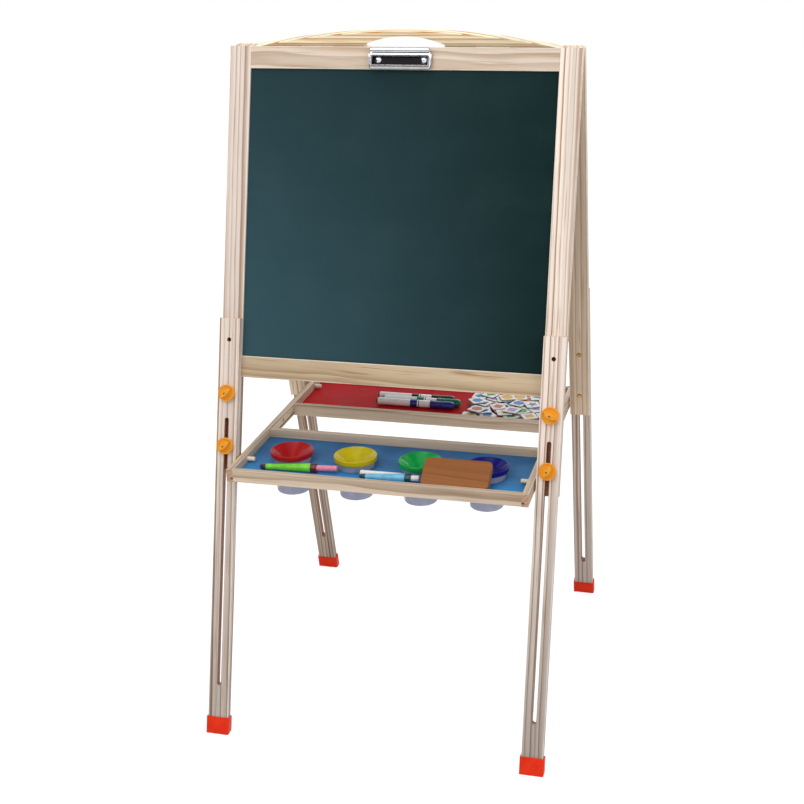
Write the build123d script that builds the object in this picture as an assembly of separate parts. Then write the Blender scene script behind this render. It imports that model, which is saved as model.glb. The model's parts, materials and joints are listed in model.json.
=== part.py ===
from build123d import *

import os
from math import atan2, cos, degrees, radians, sin

# Double-sided folding easel for children: two hinged panel frames on sliding legs, with a tray between them.
# Millimetres. +Z is up, +X is to the right seen from the chalkboard side, +Y runs from the chalkboard side to
# the whiteboard side. The origin is on the floor, midway between the four feet.
# Each frame is drawn upright in its own space, with the hinge axis along X at the origin and its outer face
# towards -Y, and is then leaned and lifted into place.

# Frames
FRAME_WIDTH = 520.0         # across the outer edges of both stiles
LEAN = 14.8                 # slope of each frame from upright, degrees
FOOT_REACH = 1040.0         # down the slope from the hinge axis to the outer edge of a sole
BOARD_WIDTH = 32.0          # stiles and legs
BOARD_THICKNESS = 12.0      # stiles, rails and legs
RAIL_HEIGHT = 32.0
STILE_LENGTH = 630.0
OPENING_HEIGHT = 424.0      # between the top and bottom rails
EDGE_ROUND = 1.0            # eased long edges of the boards

# Writing boards
PANEL_THICKNESS = 3.0
PANEL_RECESS = 4.0          # below the frame's outer face
PANEL_TONGUE = 5.0          # how far a board enters its grooves
GROOVE_SPARE = 1.0          # groove depth left past the board's edge
GROOVE_CLEARANCE = 0.1

# Arched top rail with its hand grip
ARCH_RISE = 23.5
GRIP_WIDTH = 136.0
GRIP_RISE = 16.6            # top of the grip above the stile tops
GRIP_DROP = 9.0             # bottom of the grip below the stile tops
GRIP_CORNER = 4.0

# Dowels that join rails to stiles
DOWEL_RADIUS = 3.0
DOWEL_LENGTH = 30.0
DOWEL_SPACING = 12.0
DOWEL_FIRST = 10.0          # from the rail's upper edge
SNUG = 0.05                 # radial clearance of glued, screwed and running fits

# Hinges
HINGE_OFFSET = 3.4          # from the hinge axis to each frame's inner face
HINGE_SPACING = 260.0
LEAF_LENGTH = 50.0
LEAF_HEIGHT = 24.0
LEAF_THICKNESS = 1.2
KNUCKLE_RADIUS = 3.0
KNUCKLE_GAP = 0.3
KNUCKLE_RELIEF = 3.6        # leaf cut away beside the other leaf's knuckles
HINGE_PIN_RADIUS = 1.5
HINGE_SCREW_DROP = 16.0
HINGE_SCREW_SPACING = 30.0
HINGE_SCREW_RADIUS = 1.4
HINGE_SCREW_DEPTH = 8.0
HINGE_SCREW_HEAD = (2.8, 0.8)       # radius, height

# Legs
LEG_TOP = 400.0             # below the hinge axis
SOLE_DEPTH = 12.0           # from the leg's end to the outer edge of the sole
LEG_GAP = 0.3               # sliding gap between leg and stile
LEG_HOLE_DROP = 32.0        # upper hole below the leg's top
HOLE_SPACING = 80.0         # between the two holes, and between the two knobs
STUD_HOLE_RADIUS = 3.25
SLOT_DROP = 149.5           # slot's upper end below the leg's top
SLOT_LENGTH = 414.0

# Foot caps
CAP_WALL = 2.0
CAP_FIT = 0.1
CAP_HEIGHT = 26.6           # on the outer face
CAP_ROUND = 1.8

# Knobs and threaded inserts
KNOB_RADIUS = 12.5
KNOB_DISC = 7.0
KNOB_HEIGHT = 15.0
KNOB_EDGE = 2.0
FIN_LENGTH = 20.0
FIN_THICKNESS = 5.5
FIN_CORNER = 4.0
FIN_TURNS = {               # fin's angle on the upper and on the lower knob, degrees
    "front_left": (45.0, 42.0), "front_right": (-27.0, 56.0),
    "rear_left": (70.0, 15.0), "rear_right": (-50.0, 30.0),
}
KNOB_GAP = 0.3
STUD_RADIUS = 3.0
STUD_CORE_RADIUS = 2.0      # the stud's neck inside the moulded head
STUD_CORE_SINK = 1.0        # neck's end below the top of the fin
INSERT_RADIUS = 4.0
INSERT_FLOOR = 1.5
INSERT_DOME = (3.2, 1.6)    # radius, height of the closed end on the stile's inner face
DOME_ROUND = 1.0
STUD_END_GAP = 0.5

# Clip on the front top rail
CLIP_WIDTH = 92.0
CLIP_ROLL_RADIUS = 3.6
CLIP_ROLL_DROP = 5.6
CLIP_BAR_RADIUS = 3.0
CLIP_BAR_DROP = 30.0
CLIP_LIFT = 7.8             # outer face of the jaw plate above the rail
CLIP_SHEET = 1.2
CLIP_WINDOW = (14.0, 26.5)  # upper and lower edge below the hinge axis
CLIP_ARM = 5.0              # width of the jaw beside its window
CLIP_PIN_DROP = 12.0
CLIP_PIN_LIFT = 4.0
CLIP_PIN_RADIUS = 1.5
CLIP_PIN_HEAD = 0.6
CLIP_EAR_RADIUS = 2.3
CLIP_EAR_GAP = 0.4
CLIP_BASE = (9.5, 25.0)     # upper and lower edge of the base plate below the hinge axis
CLIP_SCREW_DROP = 18.5
CLIP_SCREW_SPACING = 67.0
CLIP_SCREW_RADIUS = 1.6
CLIP_SCREW_DEPTH = 8.0
CLIP_SCREW_HEAD = (4.7, 1.6)
SPRING_LENGTH = 24.0
SPRING_GAP = 0.2
SPRING_WALL = 0.6

# Tray
TRAY_DROP = 581.9           # rails' upper edges below the hinge axis, straight down
TRAY_RAIL_HEIGHT = 19.0
TRAY_RAIL_THICKNESS = 10.0
TRAY_LENGTH = 457.0         # along Y, over the ends of the side rails
TRAY_SIDE_GAP = 2.5         # between side rail and stile
TRAY_MIDDLE_GAP = 104.0     # between the two shelves
SHELF_DROP = 12.5           # shelf surface below the rails' upper edges
SHELF_THICKNESS = 3.0
SHELF_TONGUE = 3.8
SHELF_GROOVE = 4.0
PEG_RADIUS = 3.5
PEG_DROP = 7.3
PEG_GRIP = 12.0             # peg end standing inside the tray
PEG_DEPTH = 10.0            # peg inside a stile
PEG_SPARE = 0.5
PEG_STOP_GAP = 0.35         # front pegs end short of the front stiles

# Paint cups
CUP_END_GAP = 65.5          # from an outer cup's middle to the side rail
CUP_COUNT = 4
CUP_INSET = 70.5            # cups' middles behind the front rail
CUP_DEPTH = 46.0            # below the shelf surface
CUP_RIM_HEIGHT = 14.5       # above the shelf surface
CUP_RIM_RADIUS = 28.4
CUP_FLARE = 0.6             # from the shoulder out to the rim
CUP_SHOULDER = 1.2          # from the neck out to the shoulder
CUP_TAPER = 1.6             # from the base out to the neck
CUP_WALL = 1.2
CUP_HOLE_CLEARANCE = 0.3
LID_OVERHANG = 4.1          # past the cup's rim
LID_TOP = 18.6              # above the shelf surface
LID_SKIRT = 7.6
LID_EDGE = 0.8
LID_FIT = 0.2
LID_SEAT = 0.1
FUNNEL_BORDER = 1.8         # flat edge round the funnel
FUNNEL_MOUTH = 8.0
FUNNEL_DEPTH = 16.7
FUNNEL_NECK = 5.3
LID_WALL = 1.2

# Loose kit on the shelves
KIT_GAP = 0.1               # under each loose piece
ERASER_SIZE = (100.0, 50.0)
ERASER_WOOD = 8.0
ERASER_FELT = 4.0
ERASER_SHIFT = 15.0         # to the right of midway between the green and the blue cup
ERASER_INSET = 7.2          # lower edge of the leaning eraser behind the front rail
ERASER_REST_GAP = 0.3       # between the eraser and the lids that it leans on
ERASER_CORNER = 8.0
HOLDER_LENGTHS = (88.0, 78.0)
HOLDER_TIP_RADIUS = 4.0
HOLDER_MOUTH_RADIUS = 7.2
HOLDER_GAPS = (28.5, 5.5)   # first tip from the left rail, second one's chalk from the eraser
HOLDER_INSETS = (30.5, 24.5)            # tips behind the front rail
HOLDER_TURNS = (2.5, 0.9)   # degrees
CHALK_RADIUS = 4.4
CHALK_SHOWN = (31.0, 12.0)  # out of each holder's mouth
CHALK_SUNK = 12.0
STICK_LENGTH = 64.0
STICK_START = -33.0
STICK_INSET = 37.0          # behind the front rail
STICK_TURN = 0.0
MARKER_RADIUS = 6.0
MARKER_BARREL = 92.0
MARKER_CAP = 40.0
MARKER_CAP_RADIUS = 6.6
MARKER_PITCH = 13.6
MARKER_INSET = 50.0         # first marker from the rear shelf's inner rail
MARKER_GAPS = (304.5, 296.5, 308.5)     # from each marker's left end to the right rail
TILE_SIZE = 24.0
TILE_THICKNESS = 2.5
TILE_ROUND = 2.0
TILE_LAYERS = (             # from the right rail, from the inner rail, turn in degrees
    (
        (27.1, 22.6, 6), (142.3, 27.3, 0), (112.7, 31.8, 39), (76.1, 34.4, 38), (52.1, 44.3, 38),
        (93.2, 54.6, 35), (30.7, 57.3, 38), (133.3, 62.3, 15), (64.3, 67.0, 35), (110.0, 77.1, 20),
        (139.8, 88.5, 7), (82.9, 90.2, 60), (39.3, 90.4, 84), (113.6, 109.7, 62), (62.7, 113.9, 22),
        (29.0, 116.1, 88), (142.4, 116.5, 86),
    ),
    (
        (44.2, 32.8, 28), (20.4, 41.3, 28), (87.4, 42.6, 21), (122.5, 45.5, 22), (61.2, 54.7, 35),
        (37.7, 66.0, 35), (101.7, 67.0, 26), (129.0, 79.9, 65), (71.4, 88.4, 72), (26.2, 100.0, 16),
        (98.8, 104.3, 21), (75.0, 118.0, 15), (45.5, 121.8, 15), (124.5, 121.6, 65),
    ),
    (
        (75.5, 49.3, 75), (132.6, 43.2, 65), (46.9, 79.8, 25), (139.5, 81.8, 35), (94.1, 106.3, 25),
    ),
)

# Places worked out from the sizes above
SLOPE = radians(LEAN)
OUTER_X = FRAME_WIDTH / 2
INNER_X = OUTER_X - BOARD_WIDTH
BOLT_X = OUTER_X - BOARD_WIDTH / 2
LEG_END = FOOT_REACH - SOLE_DEPTH
FACE = HINGE_OFFSET + BOARD_THICKNESS
FRAME_Y = (-FACE, -HINGE_OFFSET)
MID_BOARD = HINGE_OFFSET + BOARD_THICKNESS / 2
LEG_FACE = FACE + LEG_GAP + BOARD_THICKNESS
LEG_Y = (-LEG_FACE, -FACE - LEG_GAP)
OPENING_BOTTOM = RAIL_HEIGHT + OPENING_HEIGHT
UPPER_KNOB = LEG_TOP + LEG_HOLE_DROP + HOLE_SPACING
LOWER_KNOB = UPPER_KNOB + HOLE_SPACING
SLOT_TOP = LEG_TOP + SLOT_DROP
CAP_FACE = LEG_FACE + CAP_FIT + CAP_WALL
HINGE_HEIGHT = FOOT_REACH * cos(SLOPE) - CAP_FACE * sin(SLOPE)
GROOVE_DEPTH = PANEL_TONGUE + GROOVE_SPARE
PANEL_Y = (-FACE + PANEL_RECESS, -FACE + PANEL_RECESS + PANEL_THICKNESS)
TRAY_HALF = INNER_X - TRAY_SIDE_GAP
TRAY_INNER = TRAY_HALF - TRAY_RAIL_THICKNESS
TRAY_END = TRAY_LENGTH / 2
TRAY_TOP = HINGE_HEIGHT - TRAY_DROP
TRAY_Z = (TRAY_TOP - TRAY_RAIL_HEIGHT, TRAY_TOP)
SHELF_Z = TRAY_TOP - SHELF_DROP
SHELF_FRONT = TRAY_END - TRAY_RAIL_THICKNESS
SHELF_BACK = TRAY_MIDDLE_GAP / 2 + TRAY_RAIL_THICKNESS
PEG_Z = TRAY_TOP - PEG_DROP
PEG_DOWN = (HINGE_HEIGHT + MID_BOARD * sin(SLOPE) - PEG_Z) / cos(SLOPE)
PEG_Y = PEG_DOWN * sin(SLOPE) + MID_BOARD * cos(SLOPE)
CUP_SPACING = 2 * (TRAY_INNER - CUP_END_GAP) / (CUP_COUNT - 1)
CUP_XS = [(i - (CUP_COUNT - 1) / 2) * CUP_SPACING for i in range(CUP_COUNT)]
CUP_Y = CUP_INSET - SHELF_FRONT
CUP_SHOULDER_RADIUS = CUP_RIM_RADIUS - CUP_FLARE
CUP_NECK_RADIUS = CUP_SHOULDER_RADIUS - CUP_SHOULDER
CUP_BASE_RADIUS = CUP_NECK_RADIUS - CUP_TAPER
LID_RADIUS = CUP_RIM_RADIUS + LID_OVERHANG
FUNNEL_RIM = LID_RADIUS - FUNNEL_BORDER
ERASER_X = (CUP_XS[-2] + CUP_XS[-1]) / 2 + ERASER_SHIFT
ERASER_Y = ERASER_INSET - SHELF_FRONT
CHALK_END = ERASER_X - ERASER_SIZE[0] / 2 - HOLDER_GAPS[1]
HOLDER_XS = (HOLDER_GAPS[0] - TRAY_INNER, CHALK_END - CHALK_SHOWN[1] - HOLDER_LENGTHS[1])
HOLDER_YS = [inset - SHELF_FRONT for inset in HOLDER_INSETS]
HOLDER_PLACES = list(zip(HOLDER_XS, HOLDER_YS, HOLDER_TURNS))
STICK_PLACE = (STICK_START, STICK_INSET - SHELF_FRONT, STICK_TURN)
MARKER_Y = SHELF_BACK + MARKER_INSET
MARKER_ENDS = [TRAY_INNER - gap for gap in MARKER_GAPS]

FRONT = Pos(0, 0, HINGE_HEIGHT) * Rot(-LEAN, 0, 0)
REAR = Pos(0, 0, HINGE_HEIGHT) * Rot(LEAN, 0, 0) * Rot(0, 0, 180)
FLOOR_DEPTH = 100.0


# Shape helpers
def span(x, y, z):
    """A box between the two limits given along each axis."""
    limits = [sorted(pair) for pair in (x, y, z)]
    middle = [(low + high) / 2 for low, high in limits]
    return Pos(*middle) * Box(*[high - low for low, high in limits])


def rod_x(radius, x, y, z):
    """A cylinder along X between the two x limits."""
    return Pos(sum(x) / 2, y, z) * Rot(0, 90, 0) * Cylinder(radius, abs(x[1] - x[0]))


def rod_y(radius, x, y, z):
    """A cylinder along Y between the two y limits."""
    return Pos(x, sum(y) / 2, z) * Rot(90, 0, 0) * Cylinder(radius, abs(y[1] - y[0]))


def grow(limits, amount):
    """Both limits moved outwards."""
    low, high = sorted(limits)
    return (low - amount, high + amount)


def board(x, y, z, grain):
    """A board with its long edges eased along the grain axis."""
    blank = span(x, y, z)
    return fillet(blank.edges().filter_by(grain), EDGE_ROUND)


def turned(points):
    """A solid of revolution about Z from a closed outline of (radius, height) points."""
    return revolve(make_face(Polyline(*[(r, 0, h) for r, h in points], close=True)), Axis.Z)


# Panel frames
def rail_dowel_drops():
    """Heights of the dowels below the hinge axis, for the top and the bottom rail."""
    firsts = (DOWEL_FIRST, OPENING_BOTTOM + DOWEL_FIRST)
    return [first + step for first in firsts for step in (0.0, DOWEL_SPACING)]


def dowels(clearance=0.0):
    """All eight dowels of a frame, or their holes."""
    half = DOWEL_LENGTH / 2 + clearance
    return [
        rod_x(DOWEL_RADIUS + clearance, (side * INNER_X - half, side * INNER_X + half), -MID_BOARD, -drop)
        for side in (-1, 1) for drop in rail_dowel_drops()
    ]


def panel_groove():
    """The room that a writing board takes out of its frame."""
    x = INNER_X + GROOVE_DEPTH
    z = (-OPENING_BOTTOM - GROOVE_DEPTH, -RAIL_HEIGHT + GROOVE_DEPTH)
    return span((-x, x), grow(PANEL_Y, GROOVE_CLEARANCE), z)


def stile(side):
    """An upright of a frame, with its groove, dowel holes, insert holes and peg hole."""
    wood = board((side * INNER_X, side * OUTER_X), FRAME_Y, (-STILE_LENGTH, 0), Axis.Z)
    drops = (UPPER_KNOB, LOWER_KNOB)
    inserts = [rod_y(INSERT_RADIUS + SNUG, side * BOLT_X, FRAME_Y, -drop) for drop in drops]
    peg_end = INNER_X + PEG_DEPTH + PEG_SPARE
    peg_hole = rod_x(PEG_RADIUS + SNUG, (side * (INNER_X - 1), side * peg_end), -MID_BOARD, -PEG_DOWN)
    return wood - [panel_groove(), peg_hole, *inserts, *dowels(SNUG)]


def hinge_screw_places():
    """Middle of each hinge screw along X."""
    return [
        hinge * HINGE_SPACING / 2 + end * HINGE_SCREW_SPACING / 2 for hinge in (-1, 1) for end in (-1, 1)
    ]


def hinge_screw_holes():
    depth = HINGE_OFFSET + HINGE_SCREW_DEPTH + SNUG
    return [
        rod_y(HINGE_SCREW_RADIUS + SNUG, x, (-depth, 0), -HINGE_SCREW_DROP) for x in hinge_screw_places()
    ]


def clip_screw_places():
    return [side * CLIP_SCREW_SPACING / 2 for side in (-1, 1)]


def clip_screw_holes():
    depth = (-FACE - CLIP_LIFT, -FACE + CLIP_SCREW_DEPTH + SNUG)
    return [rod_y(CLIP_SCREW_RADIUS + SNUG, x, depth, -CLIP_SCREW_DROP) for x in clip_screw_places()]


def top_rail():
    wood = board((-INNER_X, INNER_X), FRAME_Y, (-RAIL_HEIGHT, 0), Axis.X)
    return wood - [panel_groove(), *dowels(SNUG), *hinge_screw_holes(), *clip_screw_holes()]


def grip_opening():
    """The hand grip: two shallow arcs with rounded corners, cut through the arched rail."""
    half = GRIP_WIDTH / 2
    upper = ThreePointArc((-half, 0), (0, GRIP_RISE), (half, 0))
    lower = ThreePointArc((half, 0), (0, -GRIP_DROP), (-half, 0))
    face = make_face(upper + lower)
    face = fillet(face.vertices(), GRIP_CORNER)
    return extrude(Plane.XZ * face, 2 * FACE, both=True)


def arch_rail():
    """The rear frame's top rail, arched above the stiles, with its hand grip."""
    arch = ThreePointArc((-INNER_X, 0), (0, ARCH_RISE), (INNER_X, 0))
    foot = Polyline((INNER_X, 0), (INNER_X, -RAIL_HEIGHT), (-INNER_X, -RAIL_HEIGHT), (-INNER_X, 0))
    wood = Pos(0, -HINGE_OFFSET, 0) * extrude(Plane.XZ * make_face(arch + foot), BOARD_THICKNESS)
    wood = fillet(wood.edges().filter_by(GeomType.CIRCLE), EDGE_ROUND)
    return wood - [grip_opening(), panel_groove(), *dowels(SNUG), *hinge_screw_holes()]


def bottom_rail():
    z = (-OPENING_BOTTOM - RAIL_HEIGHT, -OPENING_BOTTOM)
    wood = board((-INNER_X, INNER_X), FRAME_Y, z, Axis.X)
    return wood - [panel_groove(), *dowels(SNUG)]


def writing_board():
    x = INNER_X + PANEL_TONGUE
    return span((-x, x), PANEL_Y, (-OPENING_BOTTOM - PANEL_TONGUE, -RAIL_HEIGHT + PANEL_TONGUE))


def insert_nuts():
    """Closed brass inserts in both stiles: a threaded sleeve with a domed end on the inner face."""
    dome_radius, dome_height = INSERT_DOME
    nuts = []
    for side in (-1, 1):
        for drop in (UPPER_KNOB, LOWER_KNOB):
            x = side * BOLT_X
            sleeve = rod_y(INSERT_RADIUS, x, FRAME_Y, -drop)
            dome = rod_y(dome_radius, x, (-HINGE_OFFSET, -HINGE_OFFSET + dome_height), -drop)
            dome = fillet(dome.edges().group_by(Axis.Y)[-1], DOME_ROUND)
            bore = rod_y(STUD_RADIUS + SNUG, x, (-FACE, -HINGE_OFFSET - INSERT_FLOOR), -drop)
            nuts.append(sleeve + dome - bore)
    return nuts


# Hinges
def knuckle_spans(middle):
    """Limits along X of a hinge's three knuckles."""
    third = LEAF_LENGTH / 3
    start = middle - LEAF_LENGTH / 2
    return [(start + i * third, start + (i + 1) * third) for i in range(3)]


def hinge_leaf(middle, own):
    """One leaf of a hinge, with the knuckles that it owns and relief beside the others."""
    x = (middle - LEAF_LENGTH / 2, middle + LEAF_LENGTH / 2)
    leaf = span(x, (-HINGE_OFFSET, -HINGE_OFFSET + LEAF_THICKNESS), (-LEAF_HEIGHT, 0))
    for i, limits in enumerate(knuckle_spans(middle)):
        if i in own:
            leaf += rod_x(KNUCKLE_RADIUS, grow(limits, -KNUCKLE_GAP / 2), 0, 0)
        else:
            leaf -= span(grow(limits, KNUCKLE_GAP / 2), (-HINGE_OFFSET - 1, 0), (-KNUCKLE_RELIEF, 1))
    pin_hole = rod_x(HINGE_PIN_RADIUS + SNUG, grow(x, 1), 0, 0)
    return leaf - [pin_hole, *hinge_screw_holes()]


def hinge_leaves(own):
    return [hinge_leaf(side * HINGE_SPACING / 2, own) for side in (-1, 1)]


def hinge_pins():
    half = LEAF_LENGTH / 2 + KNUCKLE_GAP
    middles = [side * HINGE_SPACING / 2 for side in (-1, 1)]
    return [rod_x(HINGE_PIN_RADIUS, (middle - half, middle + half), 0, 0) for middle in middles]


def hinge_screws():
    """Flat-headed screws through a hinge leaf into the rail behind it."""
    radius, height = HINGE_SCREW_HEAD
    seat = -HINGE_OFFSET + LEAF_THICKNESS
    depth = -HINGE_OFFSET - HINGE_SCREW_DEPTH
    return [
        rod_y(radius, x, (seat, seat + height), -HINGE_SCREW_DROP)
        + rod_y(HINGE_SCREW_RADIUS, x, (depth, seat), -HINGE_SCREW_DROP)
        for x in hinge_screw_places()
    ]


# Legs, foot caps and knobs
def leg(side):
    """A leg board with two holes and a long slot, on the outer face of its stile."""
    wood = board((side * INNER_X, side * OUTER_X), LEG_Y, (-LEG_END, -LEG_TOP), Axis.Z)
    x = side * BOLT_X
    through = grow(LEG_Y, 1)
    holes = [rod_y(STUD_HOLE_RADIUS, x, through, -drop) for drop in (UPPER_KNOB - HOLE_SPACING, UPPER_KNOB)]
    upper = SLOT_TOP + STUD_HOLE_RADIUS
    lower = SLOT_TOP + SLOT_LENGTH - STUD_HOLE_RADIUS
    slot = span(grow((x, x), STUD_HOLE_RADIUS), through, (-lower, -upper))
    ends = [rod_y(STUD_HOLE_RADIUS, x, through, -drop) for drop in (upper, lower)]
    return wood - [*holes, slot, *ends]


def foot_cap(side, place):
    """A moulded cap round the leg's end, with its sole cut level on the floor."""
    x = (side * INNER_X, side * OUTER_X)
    top = FOOT_REACH - CAP_HEIGHT
    wall = CAP_FIT + CAP_WALL
    shell = span(grow(x, wall), grow(LEG_Y, wall), (-FOOT_REACH - FLOOR_DEPTH / 2, -top))
    shell = fillet(shell.edges().filter_by(Axis.Z), CAP_ROUND)
    pocket = span(grow(x, CAP_FIT), grow(LEG_Y, CAP_FIT), (-LEG_END, -top))
    under_floor = Pos(0, 0, -FLOOR_DEPTH / 2) * Box(2 * FOOT_REACH, 2 * FOOT_REACH, FLOOR_DEPTH)
    return place * (shell - pocket) - under_floor


def knob(side, drop, stud_tip, turn):
    """A thumb knob with its fin turned, on a stud that ends at the given depth from the hinge plane."""
    disc = Pos(0, 0, KNOB_DISC / 2) * Cylinder(KNOB_RADIUS, KNOB_DISC)
    disc = fillet(disc.edges().group_by(Axis.Z)[-1], KNOB_EDGE)
    fin_height = KNOB_HEIGHT - KNOB_EDGE
    outline = Pos(0, KNOB_EDGE + fin_height / 2) * RectangleRounded(FIN_LENGTH, fin_height, FIN_CORNER)
    fin = extrude(Plane.XZ * outline, FIN_THICKNESS / 2, both=True)
    neck_top = KNOB_HEIGHT - STUD_CORE_SINK
    bore = Pos(0, 0, KNOB_HEIGHT / 2) * Cylinder(STUD_CORE_RADIUS + SNUG, KNOB_HEIGHT + 1)
    head = disc + Rot(0, 0, turn) * fin - bore
    length = LEG_FACE + KNOB_GAP - stud_tip
    stud = Pos(0, 0, -length / 2) * Cylinder(STUD_RADIUS, length)
    stud += Pos(0, 0, neck_top / 2) * Cylinder(STUD_CORE_RADIUS, neck_top)
    seat = Pos(side * BOLT_X, -LEG_FACE - KNOB_GAP, -drop) * Rot(90, 0, 0)
    return [seat * head, seat * stud]


# Clip
def clip_base():
    """The base plate, with a round-topped ear at each end for the pin."""
    half = CLIP_WIDTH / 2 - CLIP_SHEET - CLIP_EAR_GAP
    upper, lower = CLIP_BASE
    plate = span((-half, half), (-FACE - CLIP_SHEET, -FACE), (-lower, -upper))
    pin_y = -FACE - CLIP_PIN_LIFT
    ear_z = grow((-CLIP_PIN_DROP, -CLIP_PIN_DROP), CLIP_EAR_RADIUS)
    for side in (-1, 1):
        x = sorted((side * half, side * (half - CLIP_SHEET)))
        plate += span(x, (pin_y, -FACE), ear_z)
        plate += rod_x(CLIP_EAR_RADIUS, x, pin_y, -CLIP_PIN_DROP)
    return plate - [clip_pin_shape(SNUG), *clip_screw_holes()]


def clip_pin_shape(clearance=0.0):
    half = CLIP_WIDTH / 2 + CLIP_PIN_HEAD
    return rod_x(CLIP_PIN_RADIUS + clearance, (-half, half), -FACE - CLIP_PIN_LIFT, -CLIP_PIN_DROP)


def clip_jaw():
    """The sprung jaw: a windowed plate, rolled over at the top as a lever and at the bottom as a grip."""
    half = CLIP_WIDTH / 2
    outer = -FACE - CLIP_LIFT
    sheet_y = (outer, outer + CLIP_SHEET)
    upper, lower = CLIP_WINDOW
    jaw = span((-half, half), sheet_y, (-CLIP_BAR_DROP, -CLIP_ROLL_DROP))
    jaw -= span((-half + CLIP_ARM, half - CLIP_ARM), sheet_y, (-lower, -upper))
    jaw += rod_x(CLIP_ROLL_RADIUS, (-half, half), outer, -CLIP_ROLL_DROP)
    jaw -= rod_x(CLIP_ROLL_RADIUS - CLIP_SHEET, (-half - 1, half + 1), outer, -CLIP_ROLL_DROP)
    bar_y = -FACE - CLIP_BAR_RADIUS - CLIP_EAR_GAP
    jaw += rod_x(CLIP_BAR_RADIUS, (-half, half), bar_y, -CLIP_BAR_DROP)
    jaw += span((-half, half), (outer, bar_y), (-CLIP_BAR_DROP - CLIP_SHEET, -CLIP_BAR_DROP + CLIP_SHEET))
    for side in (-1, 1):
        flange_y = (outer, -FACE - CLIP_PIN_LIFT + CLIP_PIN_RADIUS + CLIP_EAR_GAP)
        flange_z = (-lower, -CLIP_PIN_DROP + CLIP_EAR_RADIUS)
        jaw += span((side * half, side * (half - CLIP_SHEET)), flange_y, flange_z)
    return jaw - clip_pin_shape(SNUG)


def clip_spring():
    """The spring's closed coil, drawn as a sleeve round the pin."""
    half = SPRING_LENGTH / 2
    inner = CLIP_PIN_RADIUS + SPRING_GAP
    place = (-FACE - CLIP_PIN_LIFT, -CLIP_PIN_DROP)
    return rod_x(inner + SPRING_WALL, (-half, half), *place) - rod_x(inner, (-half - 1, half + 1), *place)


def clip_screws():
    radius, height = CLIP_SCREW_HEAD
    seat = -FACE - CLIP_SHEET
    return [
        rod_y(radius, x, (seat - height, seat), -CLIP_SCREW_DROP)
        + rod_y(CLIP_SCREW_RADIUS, x, (seat, -FACE + CLIP_SCREW_DEPTH), -CLIP_SCREW_DROP)
        for x in clip_screw_places()
    ]


# Tray
def shelf_groove():
    """The groove for both shelves, run through the full length of the side rails."""
    x = TRAY_INNER + SHELF_GROOVE
    z = grow((SHELF_Z - SHELF_THICKNESS, SHELF_Z), GROOVE_CLEARANCE)
    return span((-x, x), (-TRAY_END, TRAY_END), z)


def tray_side_rail(side):
    wood = board((side * TRAY_INNER, side * TRAY_HALF), (-TRAY_END, TRAY_END), TRAY_Z, Axis.Y)
    holes = [
        rod_x(PEG_RADIUS + SNUG, (side * (TRAY_INNER - 1), side * (TRAY_HALF + 1)), y, PEG_Z)
        for y in (-PEG_Y, 0, PEG_Y)
    ]
    return wood - [shelf_groove(), *holes]


def tray_cross_rails(facing):
    """The two rails across one shelf; facing is -1 for the chalkboard side and 1 for the whiteboard side."""
    groove_z = grow((SHELF_Z - SHELF_THICKNESS, SHELF_Z), GROOVE_CLEARANCE)
    groove_y = (facing * (SHELF_FRONT + SHELF_GROOVE), facing * (SHELF_BACK - SHELF_GROOVE))
    x = (-TRAY_INNER, TRAY_INNER)
    groove = span(x, groove_y, groove_z)
    rails = []
    for inner, outer in ((SHELF_FRONT, TRAY_END), (TRAY_MIDDLE_GAP / 2, SHELF_BACK)):
        rails.append(board(x, (facing * inner, facing * outer), TRAY_Z, Axis.X) - groove)
    return rails


def shelf(facing):
    x = TRAY_INNER + SHELF_TONGUE
    y = (facing * (SHELF_FRONT + SHELF_TONGUE), facing * (SHELF_BACK - SHELF_TONGUE))
    return span((-x, x), y, (SHELF_Z - SHELF_THICKNESS, SHELF_Z))


def cup_shelf():
    """The chalkboard side's shelf, with a hole for each paint cup."""
    radius = CUP_NECK_RADIUS + CUP_HOLE_CLEARANCE
    place = SHELF_Z - SHELF_THICKNESS / 2
    return shelf(-1) - [Pos(x, CUP_Y, place) * Cylinder(radius, 2 * SHELF_THICKNESS) for x in CUP_XS]


def tray_pegs():
    """Wooden pegs through the side rails: the rear pair are the tray's pivots in the rear stiles."""
    tips = {-PEG_Y: INNER_X - PEG_STOP_GAP, PEG_Y: INNER_X + PEG_DEPTH}
    grip = TRAY_INNER - PEG_GRIP
    return [
        rod_x(PEG_RADIUS, (side * grip, side * tip), y, PEG_Z) for y, tip in tips.items() for side in (-1, 1)
    ]


# Paint cups
def cup(x):
    """A tapered cup that hangs in its hole by a shoulder."""
    floor = -CUP_DEPTH + CUP_WALL
    outline = [
        (0, -CUP_DEPTH), (CUP_BASE_RADIUS, -CUP_DEPTH), (CUP_NECK_RADIUS, 0), (CUP_SHOULDER_RADIUS, 0),
        (CUP_RIM_RADIUS, CUP_RIM_HEIGHT), (CUP_RIM_RADIUS - CUP_WALL, CUP_RIM_HEIGHT),
        (CUP_SHOULDER_RADIUS - CUP_WALL, CUP_WALL), (CUP_NECK_RADIUS - CUP_WALL, CUP_WALL),
        (CUP_BASE_RADIUS - CUP_WALL, floor), (0, floor),
    ]
    return Pos(x, CUP_Y, SHELF_Z) * turned(outline)


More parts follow.
